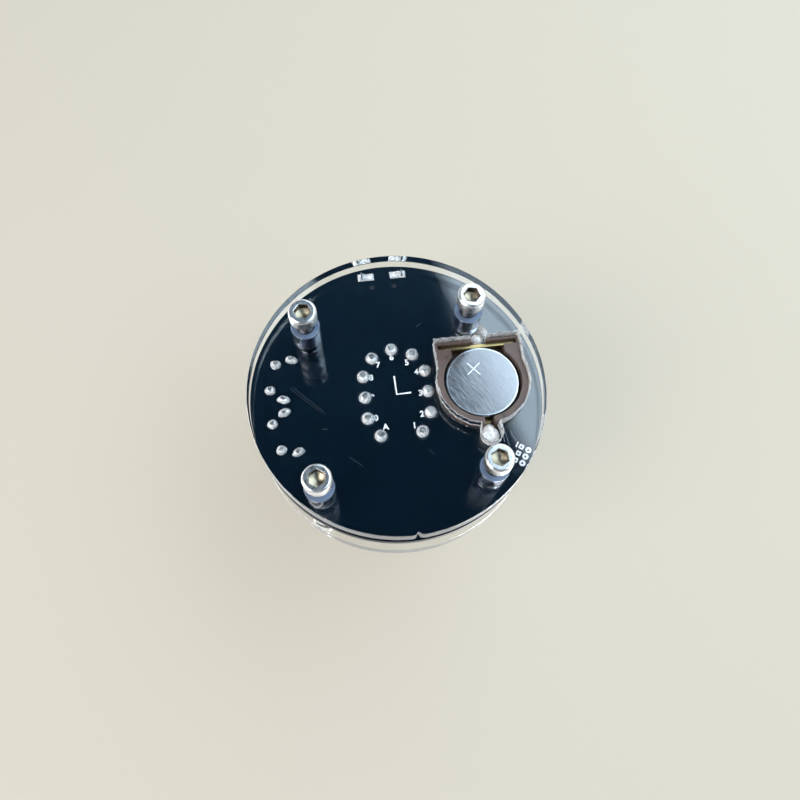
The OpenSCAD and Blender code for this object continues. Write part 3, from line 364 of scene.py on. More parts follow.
# How far the edges of some nodes are rounded, where it isn't EDGE_R
EDGE_R = 0.04
EDGE_ROUND = {"holder_body": 0.1, "switch_bodies": 0.12, "controller": 0.1, "clock_chip": 0.1,
              "register_chip": 0.1, "rectifier": 0.1, "usb_contacts": 0.02, "chip_leads": 0.03}

# ---- mesh helpers


def new_object(name, data):
    obj = bpy.data.objects.new(name, data)
    bpy.context.scene.collection.objects.link(obj)
    return obj


def smooth(obj, angle):
    """Smooth shading that leaves broad faces and faces square to an axis flat and true."""
    mesh = obj.data
    mesh.set_sharp_from_angle(angle=radians(angle))
    square = [max(abs(c) for c in face.normal) > 0.99999 for face in mesh.polygons]
    mesh.polygons.foreach_set("use_smooth", [not flat for flat in square])
    setting(obj.modifiers.new("normals", "WEIGHTED_NORMAL"), weight=95, keep_sharp=True)


def add_piece(name, mesh, finishes, body="clock", replaces=(), angle=32):
    """A piece of the clock: its mesh is in millimetres and becomes metres here."""
    mesh.transform(Matrix.Scale(MM, 4))
    for finish in finishes:
        mesh.materials.append(finish)
    obj = new_object(name, mesh)
    smooth(obj, angle)
    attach(obj, body)
    if replaces:
        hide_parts(*replaces)


def store(bm, mesh, merge):
    """Writes a form into a mesh, where points nearer than merge become one."""
    if merge:
        bmesh.ops.remove_doubles(bm, verts=bm.verts, dist=merge)
    bmesh.ops.recalc_face_normals(bm, faces=bm.faces)
    bm.to_mesh(mesh)
    bm.free()
    return mesh


def add_bmesh(name, bm, finishes, merge=1e-5, **options):
    add_piece(name, store(bm, bpy.data.meshes.new(name), merge), finishes, **options)


# What makes the pieces, in the order of building
BUILDS = []


def build(make):
    BUILDS.append(make)
    return make


def piece(*finishes, **options):
    """Marks a function that draws the form of the piece of its own name."""
    def mark(draw):
        @build
        def make():
            bm = bmesh.new()
            draw(bm)
            add_bmesh(draw.__name__, bm, finishes, **options)
        return draw
    return mark


def rounded(points, radius, closed=False, steps=4):
    """A line of flat points with its corners rounded off."""
    result = []
    count = len(points)
    for i, p in enumerate(points):
        p = Vector(p)
        if not closed and i in (0, count - 1):
            result.append(p)
            continue
        before = Vector(points[i - 1]) - p
        after = Vector(points[(i + 1) % count]) - p
        cut = min(radius, 0.45 * before.length, 0.45 * after.length)
        start = p + before.normalized() * cut
        end = p + after.normalized() * cut
        for k in range(steps + 1):
            t = k / steps
            result.append(start * (1 - t) ** 2 + p * 2 * t * (1 - t) + end * t ** 2)
    return result


def polar(r, theta):
    return Vector((r * cos(theta), r * sin(theta)))


def angles(count):
    """A full turn in equal steps."""
    return [TAU * k / count for k in range(count)]


def quarter(steps):
    """A quarter turn, from its start to its end."""
    return [pi / 2 * k / steps for k in range(steps + 1)]


def hexagon(half, theta):
    """From a hexagon's middle to its side at an angle; half is half across flats."""
    return half / cos((theta + TAU / 12) % (TAU / 6) - TAU / 12)


def square(theta):
    """From the middle of a square of half-width 1 to its side at an angle."""
    return 1 / max(abs(cos(theta)), abs(sin(theta)))


def stack_rings(bm, rings, closed=False, capped=False, slot=0):
    """Joins rings of points one after the other. A ring of one point closes the form.

    slot is the finish's number, or a function that gives it for each level.
    """
    slot_of = slot if callable(slot) else lambda level: slot
    made = [[bm.verts.new(p) for p in ring] for ring in rings]
    pairs = list(zip(made, made[1:]))
    if closed:
        pairs.append((made[-1], made[0]))
    for level, (a, b) in enumerate(pairs):
        n = max(len(a), len(b))
        for k in range(n):
            m = (k + 1) % n
            corners = [a[k % len(a)], a[m % len(a)], b[m % len(b)], b[k % len(b)]]
            corners = list(dict.fromkeys(corners))
            if len(corners) > 2:
                bm.faces.new(corners).material_index = slot_of(level)
    if capped:
        for ring in (made[0], made[-1]):
            bm.faces.new(ring).material_index = slot_of(0)


def lathe(bm, profile, at=Matrix.Identity(4), segments=64, shape=None, **options):
    """Turns (r, z) points about Z. shape(level, theta, r) may bend a ring out of round."""
    rings = []
    for level, (r, z) in enumerate(profile):
        if r < 1e-6:
            rings.append([at @ Vector((0, 0, z))])
            continue
        rings.append([at @ Vector((*polar(shape(level, theta, r) if shape else r, theta), z))
                      for theta in angles(segments)])
    stack_rings(bm, rings, **options)


def block(bm, at, *size):
    bmesh.ops.create_cube(bm, size=1, matrix=at @ Matrix.Diagonal((*size, 1)))


def shifted(x, y, z=0.0):
    return Matrix.Translation((x, y, z))


def turned(angle):
    return Matrix.Rotation(angle, 4, "Z")


def along(origin, direction):
    """A frame at origin whose Z runs along direction."""
    turn = Vector((0, 0, 1)).rotation_difference(Vector(direction)).to_matrix().to_4x4()
    return Matrix.Translation(origin) @ turn


def heading(points, i):
    """The way that a line of points runs at one of them."""
    return Vector(points[min(i + 1, len(points) - 1)]) - Vector(points[max(i - 1, 0)])


def circle(r, at=(0, 0), count=48):
    return [Vector(at) + polar(r, theta) for theta in angles(count)]


def oval(half_w, half_l, z):
    """Points on an oval with straight sides along Y."""
    count = 96
    straight = half_l - half_w
    ring = []
    for k in range(count):
        theta = TAU * (k + 0.5) / count
        x, y = polar(half_w, theta)
        ring.append(Vector((x, y + (straight if y > 0 else -straight), z)))
    return ring


def mesh_of(curve):
    """The mesh that a curve makes. The curve goes."""
    obj = new_object(curve.name, curve)
    bpy.context.view_layer.update()
    shown = obj.evaluated_get(bpy.context.evaluated_depsgraph_get())
    mesh = bpy.data.meshes.new_from_object(shown)
    bpy.data.objects.remove(obj)
    bpy.data.curves.remove(curve)
    return mesh


def plate_mesh(name, outlines, z_low, z_high):
    """A flat sheet with screw holes and narrow rounds: the first outline is its rim."""
    curve = setting(
        bpy.data.curves.new(name, "CURVE"), dimensions="2D", fill_mode="BOTH",
        extrude=(z_high - z_low) / 2 - PLATE_EDGE, bevel_depth=PLATE_EDGE, bevel_resolution=1,
        offset=-PLATE_EDGE)
    for outline in (*outlines, *(circle(SCREW_HOLE_R, at) for at in SCREWS)):
        spline = curve.splines.new("POLY")
        spline.points.add(len(outline) - 1)
        spline.use_cyclic_u = True
        for point, place in zip(spline.points, outline):
            point.co = (place[0], place[1], 0, 1)
    mesh = mesh_of(curve)
    mesh.transform(shifted(0, 0, (z_low + z_high) / 2))
    mesh.materials.clear()
    bm = bmesh.new()
    bm.from_mesh(mesh)
    return store(bm, mesh, 1e-4)


def ribbon(bm, points, width, thickness, z=BOARD_Z):
    """A flat strip along a line of points that hangs from z."""
    rings = []
    for i, p in enumerate(points):
        run = heading(points, i)
        side = Vector((-run.y, run.x)).normalized() * width / 2
        left, right = Vector(p) + side, Vector(p) - side
        rings.append([(*left, z), (*right, z), (*right, z - thickness), (*left, z - thickness)])
    stack_rings(bm, rings, capped=True)


def wire(bm, path, r, count, slot=0):
    """A round wire along a line of points."""
    rings = []
    for i, p in enumerate(path):
        section = along(p, heading(path, i))
        rings.append([section @ Vector((*q, 0)) for q in circle(r, count=count)])
    stack_rings(bm, rings, slot=slot)


# ---- plates


def cutout_reach(theta):
    """From the cell's middle to the plate's cut: a round, a square end and two bulges."""
    run = polar(1, theta)
    reach = HOLDER_R + CUTOUT_GAP
    if run.y > 0:
        side = (HOLDER_END_X + CUTOUT_GAP) / max(abs(run.x), 1e-6)
        reach = max(reach, min(side, (HOLDER_END_Y + CUTOUT_GAP) / run.y))
    for at, r in ((POSITIVE_AT, POSITIVE_R), (NEGATIVE_AT, NEGATIVE_R)):
        centre = Vector((at.x - CELL.x, at.y - CELL.y))
        ahead, beside = centre.dot(run), centre.cross(run)
        if ahead > 0 and abs(beside) < r + BLOB_GAP:
            reach = max(reach, ahead + sqrt((r + BLOB_GAP) ** 2 - beside ** 2))
    return reach


def cutout_outline():
    """The opening's ragged edge, chipped most on its left side."""
    ragged = []
    for theta in angles(720):
        p = polar(cutout_reach(theta), theta)
        chip = 0.12 + 0.05 * max(0.0, cos(theta))
        rough = noise.noise(Vector((p.x * 1.6, p.y * 1.6, 3.1)))
        rough += 0.9 * noise.noise(Vector((p.x * 4, p.y * 4, 8.2)))
        p *= 1 - chip * (0.4 + rough) / p.length
        ragged.append((CELL.x + p.x, CELL.y + p.y))
    return ragged


@build
def base_plate():
    rim = []
    for theta in angles(360):
        gap = abs((theta - NICK_ANGLE + pi) % TAU - pi) * DISC_R
        rim.append(polar(DISC_R - sqrt(max(0.0, NICK_R ** 2 - gap ** 2)), theta))
    mesh = plate_mesh("base_plate_clear", [rim, cutout_outline()], BASE_Z, BASE_TOP)
    add_piece("base_plate_clear", mesh, [ACRYLIC, SAWN, CUT_WALL], replaces=["base_plate"],
              angle=25)
    for face in mesh.polygons:
        place = face.center / MM - CELL
        near = abs(place.x) < HOLDER_R + 1.6 and -HOLDER_R - 4 < place.y < HOLDER_R + 2
        if near and abs(face.normal.z) < 0.95:
            smooth_cut = place.x > 0 and -HOLDER_R < place.y < -2 and abs(face.normal.z) < 0.1
            face.material_index = 2 if smooth_cut else 1


@build
def top_plate():
    opening = oval(TUBE_HALF_W + 0.5, TUBE_HALF_L + 0.5, 0)
    mesh = plate_mesh("top_plate_clear", [circle(DISC_R, count=360), opening],
                      low("top_plate").z, high("top_plate").z)
    add_piece("top_plate_clear", mesh, [ACRYLIC], replaces=["top_plate"], angle=25)


# ---- fasteners


def thread(bm, at, z_low, z_high, slot):
    """A helical thread: levels of points that climb one pitch a turn."""
    segments = 32
    root = THREAD_R - 0.25
    crest = THREAD_R - 0.01
    tooth = [(0.0, root), (0.12, root), (0.44, crest), (0.6, crest)]
    rows = []
    for turn in range(-1, int((z_high - z_low) / THREAD_PITCH) + 2):
        for share, r in tooth:
            row = []
            for k in range(segments + 1):
                theta = TAU * k / segments
                z = z_low + THREAD_PITCH * (turn + share + k / segments)
                reach = min(r, root + max(0.0, z_high - z - 0.02))
                z = min(max(z, z_low), z_high)
                row.append(bm.verts.new(at @ Vector((*polar(reach, theta), z))))
            rows.append(row)
    for a, b in zip(rows, rows[1:]):
        for k in range(segments):
            bm.faces.new([a[k], a[k + 1], b[k + 1], b[k]]).material_index = slot
    bm.faces.new([bm.verts.new(at @ Vector((*q, z_high))) for q in circle(root, count=segments)])


@piece(STEEL, RECESS_WALL_SHADE, RECESS_FLOOR_REFLECTION, SHADED_THREAD, replaces=["foot_screws"], angle=28)
def screws(bm):
    """Socket heads from their roots round to the bottom of the hexagonal recess, and threads."""
    chamfer = 0.3
    outside = rounded([(0.9, HEAD_H), (HEAD_R, HEAD_H), (HEAD_R, chamfer), (HEAD_R - chamfer, 0),
                       (HEX_HALF * 1.25, 0)], 0.12, steps=3)
    inside = [(HEX_HALF + 0.08, 0.0), (HEX_HALF, 0.07), (HEX_HALF, HEX_DEPTH),
              (HEX_HALF * 0.97, HEX_DEPTH + 0.02), (HEX_HALF * 0.6, HEX_DEPTH + 0.2),
              (0.22, HEX_DEPTH + 0.4), (0.0, HEX_DEPTH + 0.42)]
    split = len(outside)

    def shape(level, theta, r):
        return hexagon(r, theta) if split <= level < split + 3 else r

    for (x, y), turn in zip(SCREWS, SCREW_TURNS):
        at = shifted(x, y) @ turned(radians(turn))
        # The recess's walls take the painted shade, and its floor the painted reflection.
        lathe(bm, outside + inside, at, 96, shape,
              slot=lambda level: int(level > split) + int(level > split + 1))
        # The thread takes the fourth finish, painted near black as shade.
        thread(bm, at, HEAD_H, high("foot_screws").z, 3)


@piece(STEEL, replaces=["nuts"])
def hex_nuts(bm):
    z_low, z_high = low("nuts").z, high("nuts").z
    half = 2.5
    drop = 0.3
    profile = [(SCREW_HOLE_R, z_low), (half, z_low), (half, z_low + drop), (half, z_high - drop),
               (half, z_high), (1.55, z_high), (SCREW_HOLE_R, z_high - 0.2)]

    def shape(level, theta, r):
        if level in (1, 4):
            return min(hexagon(half, theta), half + 0.02)
        return hexagon(half, theta) if level in (2, 3) else r

    for at in SCREWS:
        lathe(bm, profile, shifted(*at), 96, shape, closed=True)


def tubes(name, node, outer, inner, finishes, edge=0.15):
    """Four tubes round the screws. The last finish is that of their lower ends."""
    z_low, z_high = low(node).z, high(node).z
    last = len(finishes) - 1
    profile = rounded([(inner, z_low), (outer, z_low), (outer, z_high), (inner, z_high)], edge,
                      closed=True)
    bm = bmesh.new()
    for at in SCREWS:
        lathe(bm, profile, shifted(*at), closed=True,
              slot=lambda level: last if 2 <= level <= 6 else 0)
    add_bmesh(name, bm, finishes, replaces=[node])


@build
def sleeves_and_spacers():
    tubes("sleeves", "foot_sleeves", 2.4, 1.45, [SLEEVE, SLEEVE_END], 0.2)
    tubes("short_spacers", "lower_spacers", 2.0, 1.3, [SLEEVE])
    tubes("tall_spacers", "upper_spacers", 2.5, 1.3, [NYLON])


# ---- solder, print and traces


def pin_places():
    places = [(0.0, PIN_CENTRES / 2 + PIN_R), (PIN_R, 0.0), (-PIN_R, 0.0)]
    for k in (1, 2):
        x = PIN_R * sin(k * PIN_STEP)
        y = PIN_CENTRES / 2 + PIN_R * cos(k * PIN_STEP)
        places += [(sx * x, sy * y) for sx in (-1, 1) for sy in (-1, 1)]
    return places


def at_switch(side, r, across, z):
    """A point in a switch's own frame, whose X runs out through the button."""
    return turned(side * SWITCH_ANGLE) @ shifted(r, across, z)


def uneven(theta, size, seed, height):
    """A noise that closes round a joint. A larger size gives more lumps."""
    x, y = polar(size, theta)
    return noise.noise(Vector((x + seed, y, height)))


def solder_dome(bm, at, r, h, tip, seed, squash=(1, 1), lump=0.05):
    """An uneven joint under the board: a full shoulder and the cut wire in its middle."""
    profile = [(r, 0.0), (r, h * 0.12), (r * 0.95, h * 0.36), (r * 0.85, h * 0.6),
               (r * 0.68, h * 0.82), (tip * 1.12, h * 0.96), (tip, h), (tip * 0.7, h * 0.99),
               (0.0, h * 0.95)]

    def shape(level, theta, reach):
        wave = uneven(theta, 1.3, seed * 7.1, level * 0.25)
        return reach * (1 + (lump if level < 5 else 0.5) * wave)

    # The cut wire's levels take the second finish, painted dark as a reflection.
    lathe(bm, profile, at @ Matrix.Diagonal((*squash, -1, 1)), 40, shape,
          slot=lambda level: int(level > 5))


@piece(SOLDER, SOLDER_TIP_DARK_REFLECTION, replaces=["pin_solder"], angle=50)
def pin_joints(bm):
    for k, (x, y) in enumerate(pin_places()):
        solder_dome(bm, shifted(x, y, BOARD_Z), 1.08, BOARD_Z - PIN_TIP - 0.02, 0.48, k)


@piece(SOLDER, SOLDER_TIP_DARK_REFLECTION, replaces=["switch_solder"], angle=50)
def switch_joints(bm):
    for side in SWITCH_SIDES.values():
        for s in (-1, 1):
            seed = 20 + 3 * side + s
            signal = at_switch(side, SIGNAL_R, s * SIGNAL_PITCH / 2, BOARD_Z)
            solder_dome(bm, signal, 0.88, 0.95, 0.3, seed, (1, 0.92), 0.17)
            bracket = at_switch(side, BRACKET_R, s * BRACKET_PITCH / 2, BOARD_Z)
            solder_dome(bm, bracket, 0.95, 0.9, 0.35, seed + 9, (1.15, 0.72), 0.17)


@piece(SOLDER, replaces=["usb_solder"], angle=60)
def socket_joints(bm):
    """Two low slabs of solder with soft, uneven tops."""
    nx, ny = 18, 12
    width, length, depth = 2.9, 1.4, 0.4
    for s in (-1, 1):
        grid = {}
        for i in range(nx + 1):
            for j in range(ny + 1):
                u = 2 * i / nx - 1
                v = 2 * j / ny - 1
                fall = max(0.0, (1 - abs(u) ** 5) * (1 - abs(v) ** 5)) ** 0.45
                bumpy = 1 + 0.9 * noise.noise(Vector((u * 2.1 + 5 + s, v * 2.1, 1.7)))
                grid[i, j] = bm.verts.new((
                    s * 2.89 + u * width / 2, SOCKET_Y + v * length / 2,
                    BOARD_Z - depth * fall * bumpy))
        for i in range(nx):
            for j in range(ny):
                bm.faces.new([grid[i, j], grid[i + 1, j], grid[i + 1, j + 1], grid[i, j + 1]])


@piece(SOLDER, replaces=["holder_solder"], angle=50)
def holder_joints(bm):
    """Two joints that swell out in the base plate's opening, from a narrow foot on the board."""
    swell_z = BOARD_Z - BASE_TOP
    for at, r, foot, seed, wicking in ((POSITIVE_AT, POSITIVE_R, 0.8, 41, 0.0),
                                       (NEGATIVE_AT, NEGATIVE_R, 1.5, 47, 0.35)):
        profile = [(foot, 0.0), (foot, swell_z * 0.5), (foot + (r - foot) * 0.7, swell_z * 0.8)]
        profile += [polar(r, a) + Vector((0, swell_z)) for a in quarter(12)[:-1]]
        profile.append((0.0, swell_z + r))

        def shape(level, theta, reach):
            wick = wicking * max(0.0, sin(theta)) ** 6
            return reach * (0.93 + 0.14 * uneven(theta, 2.2, seed, level * 0.4) + wick)

        lathe(bm, profile, shifted(at.x, at.y, BOARD_Z) @ Matrix.Diagonal((1, 1, -1, 1)), 48, shape)


def print_mark(bm, text, place, size, turn=0.0):
    """One printed sign on the board's underside, read from below."""
    mesh = mesh_of(setting(
        bpy.data.curves.new("sign", "FONT"), body=text, size=size, align_x="CENTER",
        align_y="CENTER", extrude=PRINT_T / 2, offset=0.045))
    flip = Matrix.Rotation(pi, 4, "Y")
    mesh.transform(shifted(*place, BOARD_Z - PRINT_T / 2) @ turned(turn) @ flip)
    bm.from_mesh(mesh)


@piece(INK, angle=60)
def board_print(bm):
    """The pin digits, the header's digit and the corner mark between the pins."""
    for sign, place in LABELS.items():
        print_mark(bm, sign, place, LABEL_SIZE)
    print_mark(bm, "1", (-19.0, -11.2), 1.35, HEADER_ANGLE - pi)
    ribbon(bm, [(0.07, 3.45), (0.0, 0.05), (-2.5, 0.12)], 0.28, PRINT_T)


@piece(TRACE)
def board_traces(bm):
    """Three zigzag tracks to the header."""
    for track in (
            [(-16.8, -8.8), (-17.0, -9.6), (-17.0, -10.4)],
            [(-17.4, -8.8), (-17.5, -9.4), (-17.6, -10.6), (-17.8, -11.2)],
            [(-18.4, -8.6), (-18.5, -9.5), (-18.9, -10.2), (-19.1, -10.6)]):
        ribbon(bm, track, 0.14, 0.03)


@piece(RING)
def board_rings(bm):
    """Fine rings round the pins and the socket's pegs."""
    for places, r, width in ((pin_places(), 1.32, 0.07), (SOCKET_PEGS, 0.4, 0.1)):
        for place in places:
            ring = circle(r, place, 40)
            ribbon(bm, ring + ring[:1], width, 0.02)


@piece(PAD, replaces=["header_rings"])
def header_pads(bm):
    """Tinned rings round the outer holes and square pads round the inner ones."""
    hole = 0.2
    for column, half in ((0, 0.525), (1, 0.42)):
        for row in (-1, 0, 1):
            turn = turned(HEADER_ANGLE)
            place = turn @ Vector((HEADER_R - column * HEADER_PITCH, row * HEADER_PITCH, 0))

            def shape(level, theta, r):
                return r * min(square(theta), 1.25) if column and 0 < level < 4 else r

            levels = [(hole, 0.3), (half, 0.0), (half, -0.035), (half - 0.06, -0.06),
                      (hole + 0.1, -0.055), (hole, 0.0)]
            lathe(bm, levels, shifted(place.x, place.y, BOARD_Z) @ turn, 48, shape, closed=True)


@piece(SCRATCH)
def plate_scratches(bm):
    """Fine scratches on the base plate's outer face, each with a slight bend."""
    for start, end in (
            ((17.25, 1.76), (12.3, -3.42)), ((17.6, 1.5), (12.9, -3.3)),
            ((-4.6, 10.5), (-5.45, 11.1)), ((9.14, -11.2), (7.08, -13.07)),
            ((-3.78, -11.37), (-4.47, -12.29)), ((13.1, -6.1), (12.1, -6.2))):
        bend = (Vector(start) + Vector(end)) / 2 + Vector((0.08, 0.08))
        ribbon(bm, [start, bend, end], 0.025, 0.004, BASE_Z)


# ---- coin cell


@piece(CELL_STEEL, CELL_SIDE, body="cell", replaces=["cell_can"], angle=40)
def cell_can_brushed(bm):
    """The can with its flat face and its rolled shoulder."""
    shoulder = 0.16
    rim = CELL_R - 0.45
    outline = rounded([(CELL_R - shoulder - 0.15, CELL_Z), (CELL_R, CELL_Z),
                       (CELL_R, CELL_TOP - 0.25), (rim, CELL_TOP - 0.25), (rim, CELL_TOP - 0.7),
                       (0.0, CELL_TOP - 0.7)], shoulder)
    lathe(bm, [(0.0, CELL_Z), (CELL_R - 0.6, CELL_Z), *outline], shifted(CELL.x, CELL.y), 128,
          slot=lambda level: int(level > 1))


@piece(MARK, body="cell")
def cell_plus(bm):
    """The plus on the cell's face."""
    for turn in (50, 140):
        place = shifted(CELL.x + 1.15, CELL.y + 2.45, CELL_Z + 0.02)
        block(bm, place @ turned(radians(turn)), 3.05, 0.16, 0.06)


# ---- switches and socket


@build
def buttons():
    root = SWITCH_BACK + 1.0
    for name, side in SWITCH_SIDES.items():
        node = name + "_button"
        plunger = rounded([(0.0, root), (BUTTON_R, root), (BUTTON_R, BUTTON_TIP),
                           (0.0, BUTTON_TIP)], 0.4, steps=6)
        bm = bmesh.new()
        at = turned(side * SWITCH_ANGLE) @ along((0, 0, BUTTON_Z), (1, 0, 0))
        lathe(bm, plunger, at)
        add_bmesh(name + "_button_cap", bm, [BUTTON], body=node, replaces=[node], angle=40)


@piece(TINNED, BLACK)
def switch_covers(bm):
    """The sheet cover on each switch's front and its four rivets."""
    cover_t = 0.18
    rivet_z = cover_t + 0.16
    hole = BUTTON_R + 0.35
    half = SWITCH_W / 2 - 0.25

    def shape(level, theta, r):
        return r if level in (0, 3) else r * min(square(theta), 1.3)

    for side in SWITCH_SIDES.values():
        front = at_switch(side, SWITCH_FRONT, 0, BUTTON_Z) @ Matrix.Rotation(pi / 2, 4, "Y")
        lathe(bm, [(hole, 0.0), (half, 0.0), (half, cover_t), (hole, cover_t)], front, 96, shape,
              closed=True)
        for a in range(4):
            at = turned(pi / 4 + a * pi / 2) @ shifted(3.05, 0)
            rivet = rounded([(0.0, rivet_z), (0.36, rivet_z), (0.36, 0.0), (0.0, 0.0)], 0.14)
            lathe(bm, rivet, front @ at, 24, slot=1)


@piece(SHELL, replaces=["usb_shell"], angle=40)
def socket_shell_drawn(bm):
    """A drawn shell with a narrower floor, rounded corners and lips that flare at the mouth."""
    back, mouth = low("usb_shell").y, high("usb_shell").y
    half = high("usb_shell").x
    top_z = high("usb_shell").z
    wall = 0.25
    lip = 0.35

    def section(grow, y):
        """The shell's outline across, shrunk by grow."""
        low_half = half - 0.75 - grow * 0.6
        high_half = half - 0.12 - grow
        floor = BOARD_TOP + 0.12 + grow
        roof = top_z - 0.12 - grow
        knee = BOARD_TOP + 1.05
        points = [(-low_half, floor), (low_half, floor), (high_half, knee), (high_half, roof),
                  (-high_half, roof), (-high_half, knee)]
        return [Vector((p.x, y, p.y)) for p in rounded(points, 0.4, closed=True)]

    stack_rings(bm, [
        section(wall, back + wall), section(wall, mouth - lip), section(wall - 0.1, mouth),
        section(-0.1, mouth), section(-0.1, mouth - 0.12), section(0.0, mouth - lip),
        section(0.0, back)], capped=True)
    leg_top = BOARD_TOP + 1.2
    for s in (-1, 1):
        at = shifted(s * (half - wall / 2), SOCKET_Y, (PIN_TIP + leg_top) / 2)
        block(bm, at, wall, 1.0, leg_top - PIN_TIP)


# ---- tube


@piece(GLASS, replaces=["tube_glass"], angle=50)
def tube_envelope(bm):
    """The glass: its outside from the foot up, its inside down to the stem, and its sealed tip."""
    foot = 1.1
    shoulder = 2.5
    stem_top = TUBE_Z + STEM_T
    out = [(foot * (1 - sin(a)), TUBE_Z + foot * (1 - cos(a))) for a in quarter(4)]
    out += [(shoulder * (1 - cos(a)), TUBE_TOP - shoulder * (1 - sin(a))) for a in quarter(10)]
    into = [(shoulder - (shoulder - GLASS_T) * cos(a),
             TUBE_TOP - shoulder + (shoulder - GLASS_T) * sin(a)) for a in quarter(8)[::-1]]
    into += [(GLASS_T, stem_top + 1.0), (GLASS_T + 0.4, stem_top + 0.25),
             (GLASS_T + 1.4, stem_top)]
    for levels in (out, into):
        stack_rings(bm, [oval(TUBE_HALF_W - inset, TUBE_HALF_L - inset, z)
                         for inset, z in levels], capped=True)
    tip = rounded([(1.9, TUBE_Z + 0.05), (1.25, TUBE_Z - 0.3), (0.9, TUBE_Z - 0.9),
                   (0.0, TUBE_Z - 1.25)], 0.4)
    lathe(bm, tip, segments=40)


@piece(MESH, merge=0, replaces=["anode_mesh"])
def anode_grid(bm):
    """A fine honeycomb in a plain frame."""
    z = low("anode_mesh").z
    half_w, half_l = high("anode_mesh").x, high("anode_mesh").y
    t = 0.12
    pitch = 1.15
    wire_w = 0.1
    edge = 0.8
    side = pitch / sqrt(3)
    stack_rings(bm, [oval(half_w - inset, half_l - inset, level)
                     for inset, level in ((0, z), (0, z + t), (edge, z + t), (edge, z))],
                closed=True)

    def inside(p):
        return hypot(p.x, max(0.0, abs(p.y) - half_l + half_w)) < half_w - edge * 0.6

    rows = int(half_l / (1.5 * side)) + 2
    columns = int(half_w / pitch) + 2
    for row in range(-rows, rows + 1):
        for column in range(-columns, columns + 1):
            centre = Vector(((column + 0.5 * (row % 2)) * pitch, row * 1.5 * side))
            knots = [centre + polar(side, radians(90 + 60 * k)) for k in range(4)]
            for p, q in zip(knots, knots[1:]):
                if not (inside(p) and inside(q)):
                    continue
                run = q - p
                across = Vector((-run.y, run.x)).normalized() * wire_w / 2
                corners = [p + across, p - across, q - across, q + across]
                stack_rings(bm, [[(*c, level) for c in corners] for level in (z, z + t)],
                            capped=True)


# ---- parts on the board


@piece(BUTTON)
def chip_dimples(bm):
    """The small round mark in one corner of each chip."""
    for node, inset in (("controller", 0.9), ("clock_chip", 0.7), ("register_chip", 0.7)):
        corner = low(node)
        top = high(node).z
        dish = [(0.32, top + 0.004), (0.26, top + 0.004), (0.24, top - 0.02), (0.0, top - 0.02)]
        lathe(bm, dish, shifted(corner.x + inset, corner.y + inset), 24)


def moulded_base(bm, at, outline, levels, slot=0):
    """The low base of an upright part: its outline's size and its height at each level."""
    rings = [[at @ Vector((*(p * size), z)) for p in outline] for size, z in levels]
    stack_rings(bm, rings, capped=True, slot=slot)


@piece(FERRITE, WINDING, replaces=["converter_coil"])
def converter_coil_core(bm):
    """A shielded drum core with its copper winding showing in the gap."""
    half = half_width("converter_coil")
    at = shifted(*middle("converter_coil").xy)
    z, top = low("converter_coil").z, high("converter_coil").z
    outline = rounded([(-half, -half), (half, -half), (half, half), (-half, half)], 0.5,
                      closed=True, steps=3)
    moulded_base(bm, at, outline, ((0.97, z), (1, z + 0.08), (1, z + 0.55), (0.97, z + 0.6)))
    shield = rounded([(half - 0.75, z + 0.5), (half - 0.15, z + 0.5), (half - 0.15, top),
                      (half - 0.75, top)], 0.12, closed=True)
    lathe(bm, shield, at, closed=True)
    lathe(bm, rounded([(0.0, top), (half - 1.3, top), (half - 1.3, z + 0.5)], 0.15), at)
    turns = 6
    r = (top - z - 1.2) / turns / 2
    for k in range(turns):
        loop = circle(r, (half - 1.02, z + 0.8 + r * (2 * k + 1)), 8)
        lathe(bm, loop, at, 48, closed=True, slot=1)


@piece(CAP_SLEEVE, CAP_CAN, RUBBER, LEAD, replaces=["hv_capacitor"])
def hv_capacitor_sleeved(bm):
    """A capacitor on its side: shrink sleeve over an aluminium can, rubber seal and two wires."""
    r = half_width("hv_capacitor")
    length = 11.0
    x, y, z = middle("hv_capacitor").x, low("hv_capacitor").y, BOARD_TOP + r
    axis = along((x, y, z), (0, 1, 0))
    sleeve = [(r * 0.72, 0.0), (r * 0.76, 0.0), (r * 0.97, 0.12), (r, 0.4), (r, length - 2.0),
              (r - 0.32, length - 1.5), (r - 0.32, length - 1.2), (r, length - 0.75),
              (r - 0.02, length - 0.25), (r * 0.86, length - 0.02), (r * 0.76, length)]
    vent = [(r * 0.74, 0.02), (r * 0.3, 0.05), (0.0, 0.05)]
    seal = [(r * 0.78, length - 0.05), (r * 0.7, length - 0.15), (0.0, length - 0.15)]
    lathe(bm, sleeve, axis, 72)
    lathe(bm, vent, axis, 72, slot=1)
    for turn in range(3):
        block(bm, axis @ turned(turn * pi / 3) @ shifted(0, 0, 0.05), r * 1.1, 0.1, 0.05)
    lathe(bm, seal, axis, 72, slot=2)
    for s in (-1, 1):
        bend = ((-0.2, z), (0.45, z), (0.65, z - 0.12), (0.7, z - 0.4), (0.7, BOARD_TOP))
        wire(bm, [(x + s * 1.25, y + length + run, rise) for run, rise in bend], 0.25, 12, 3)


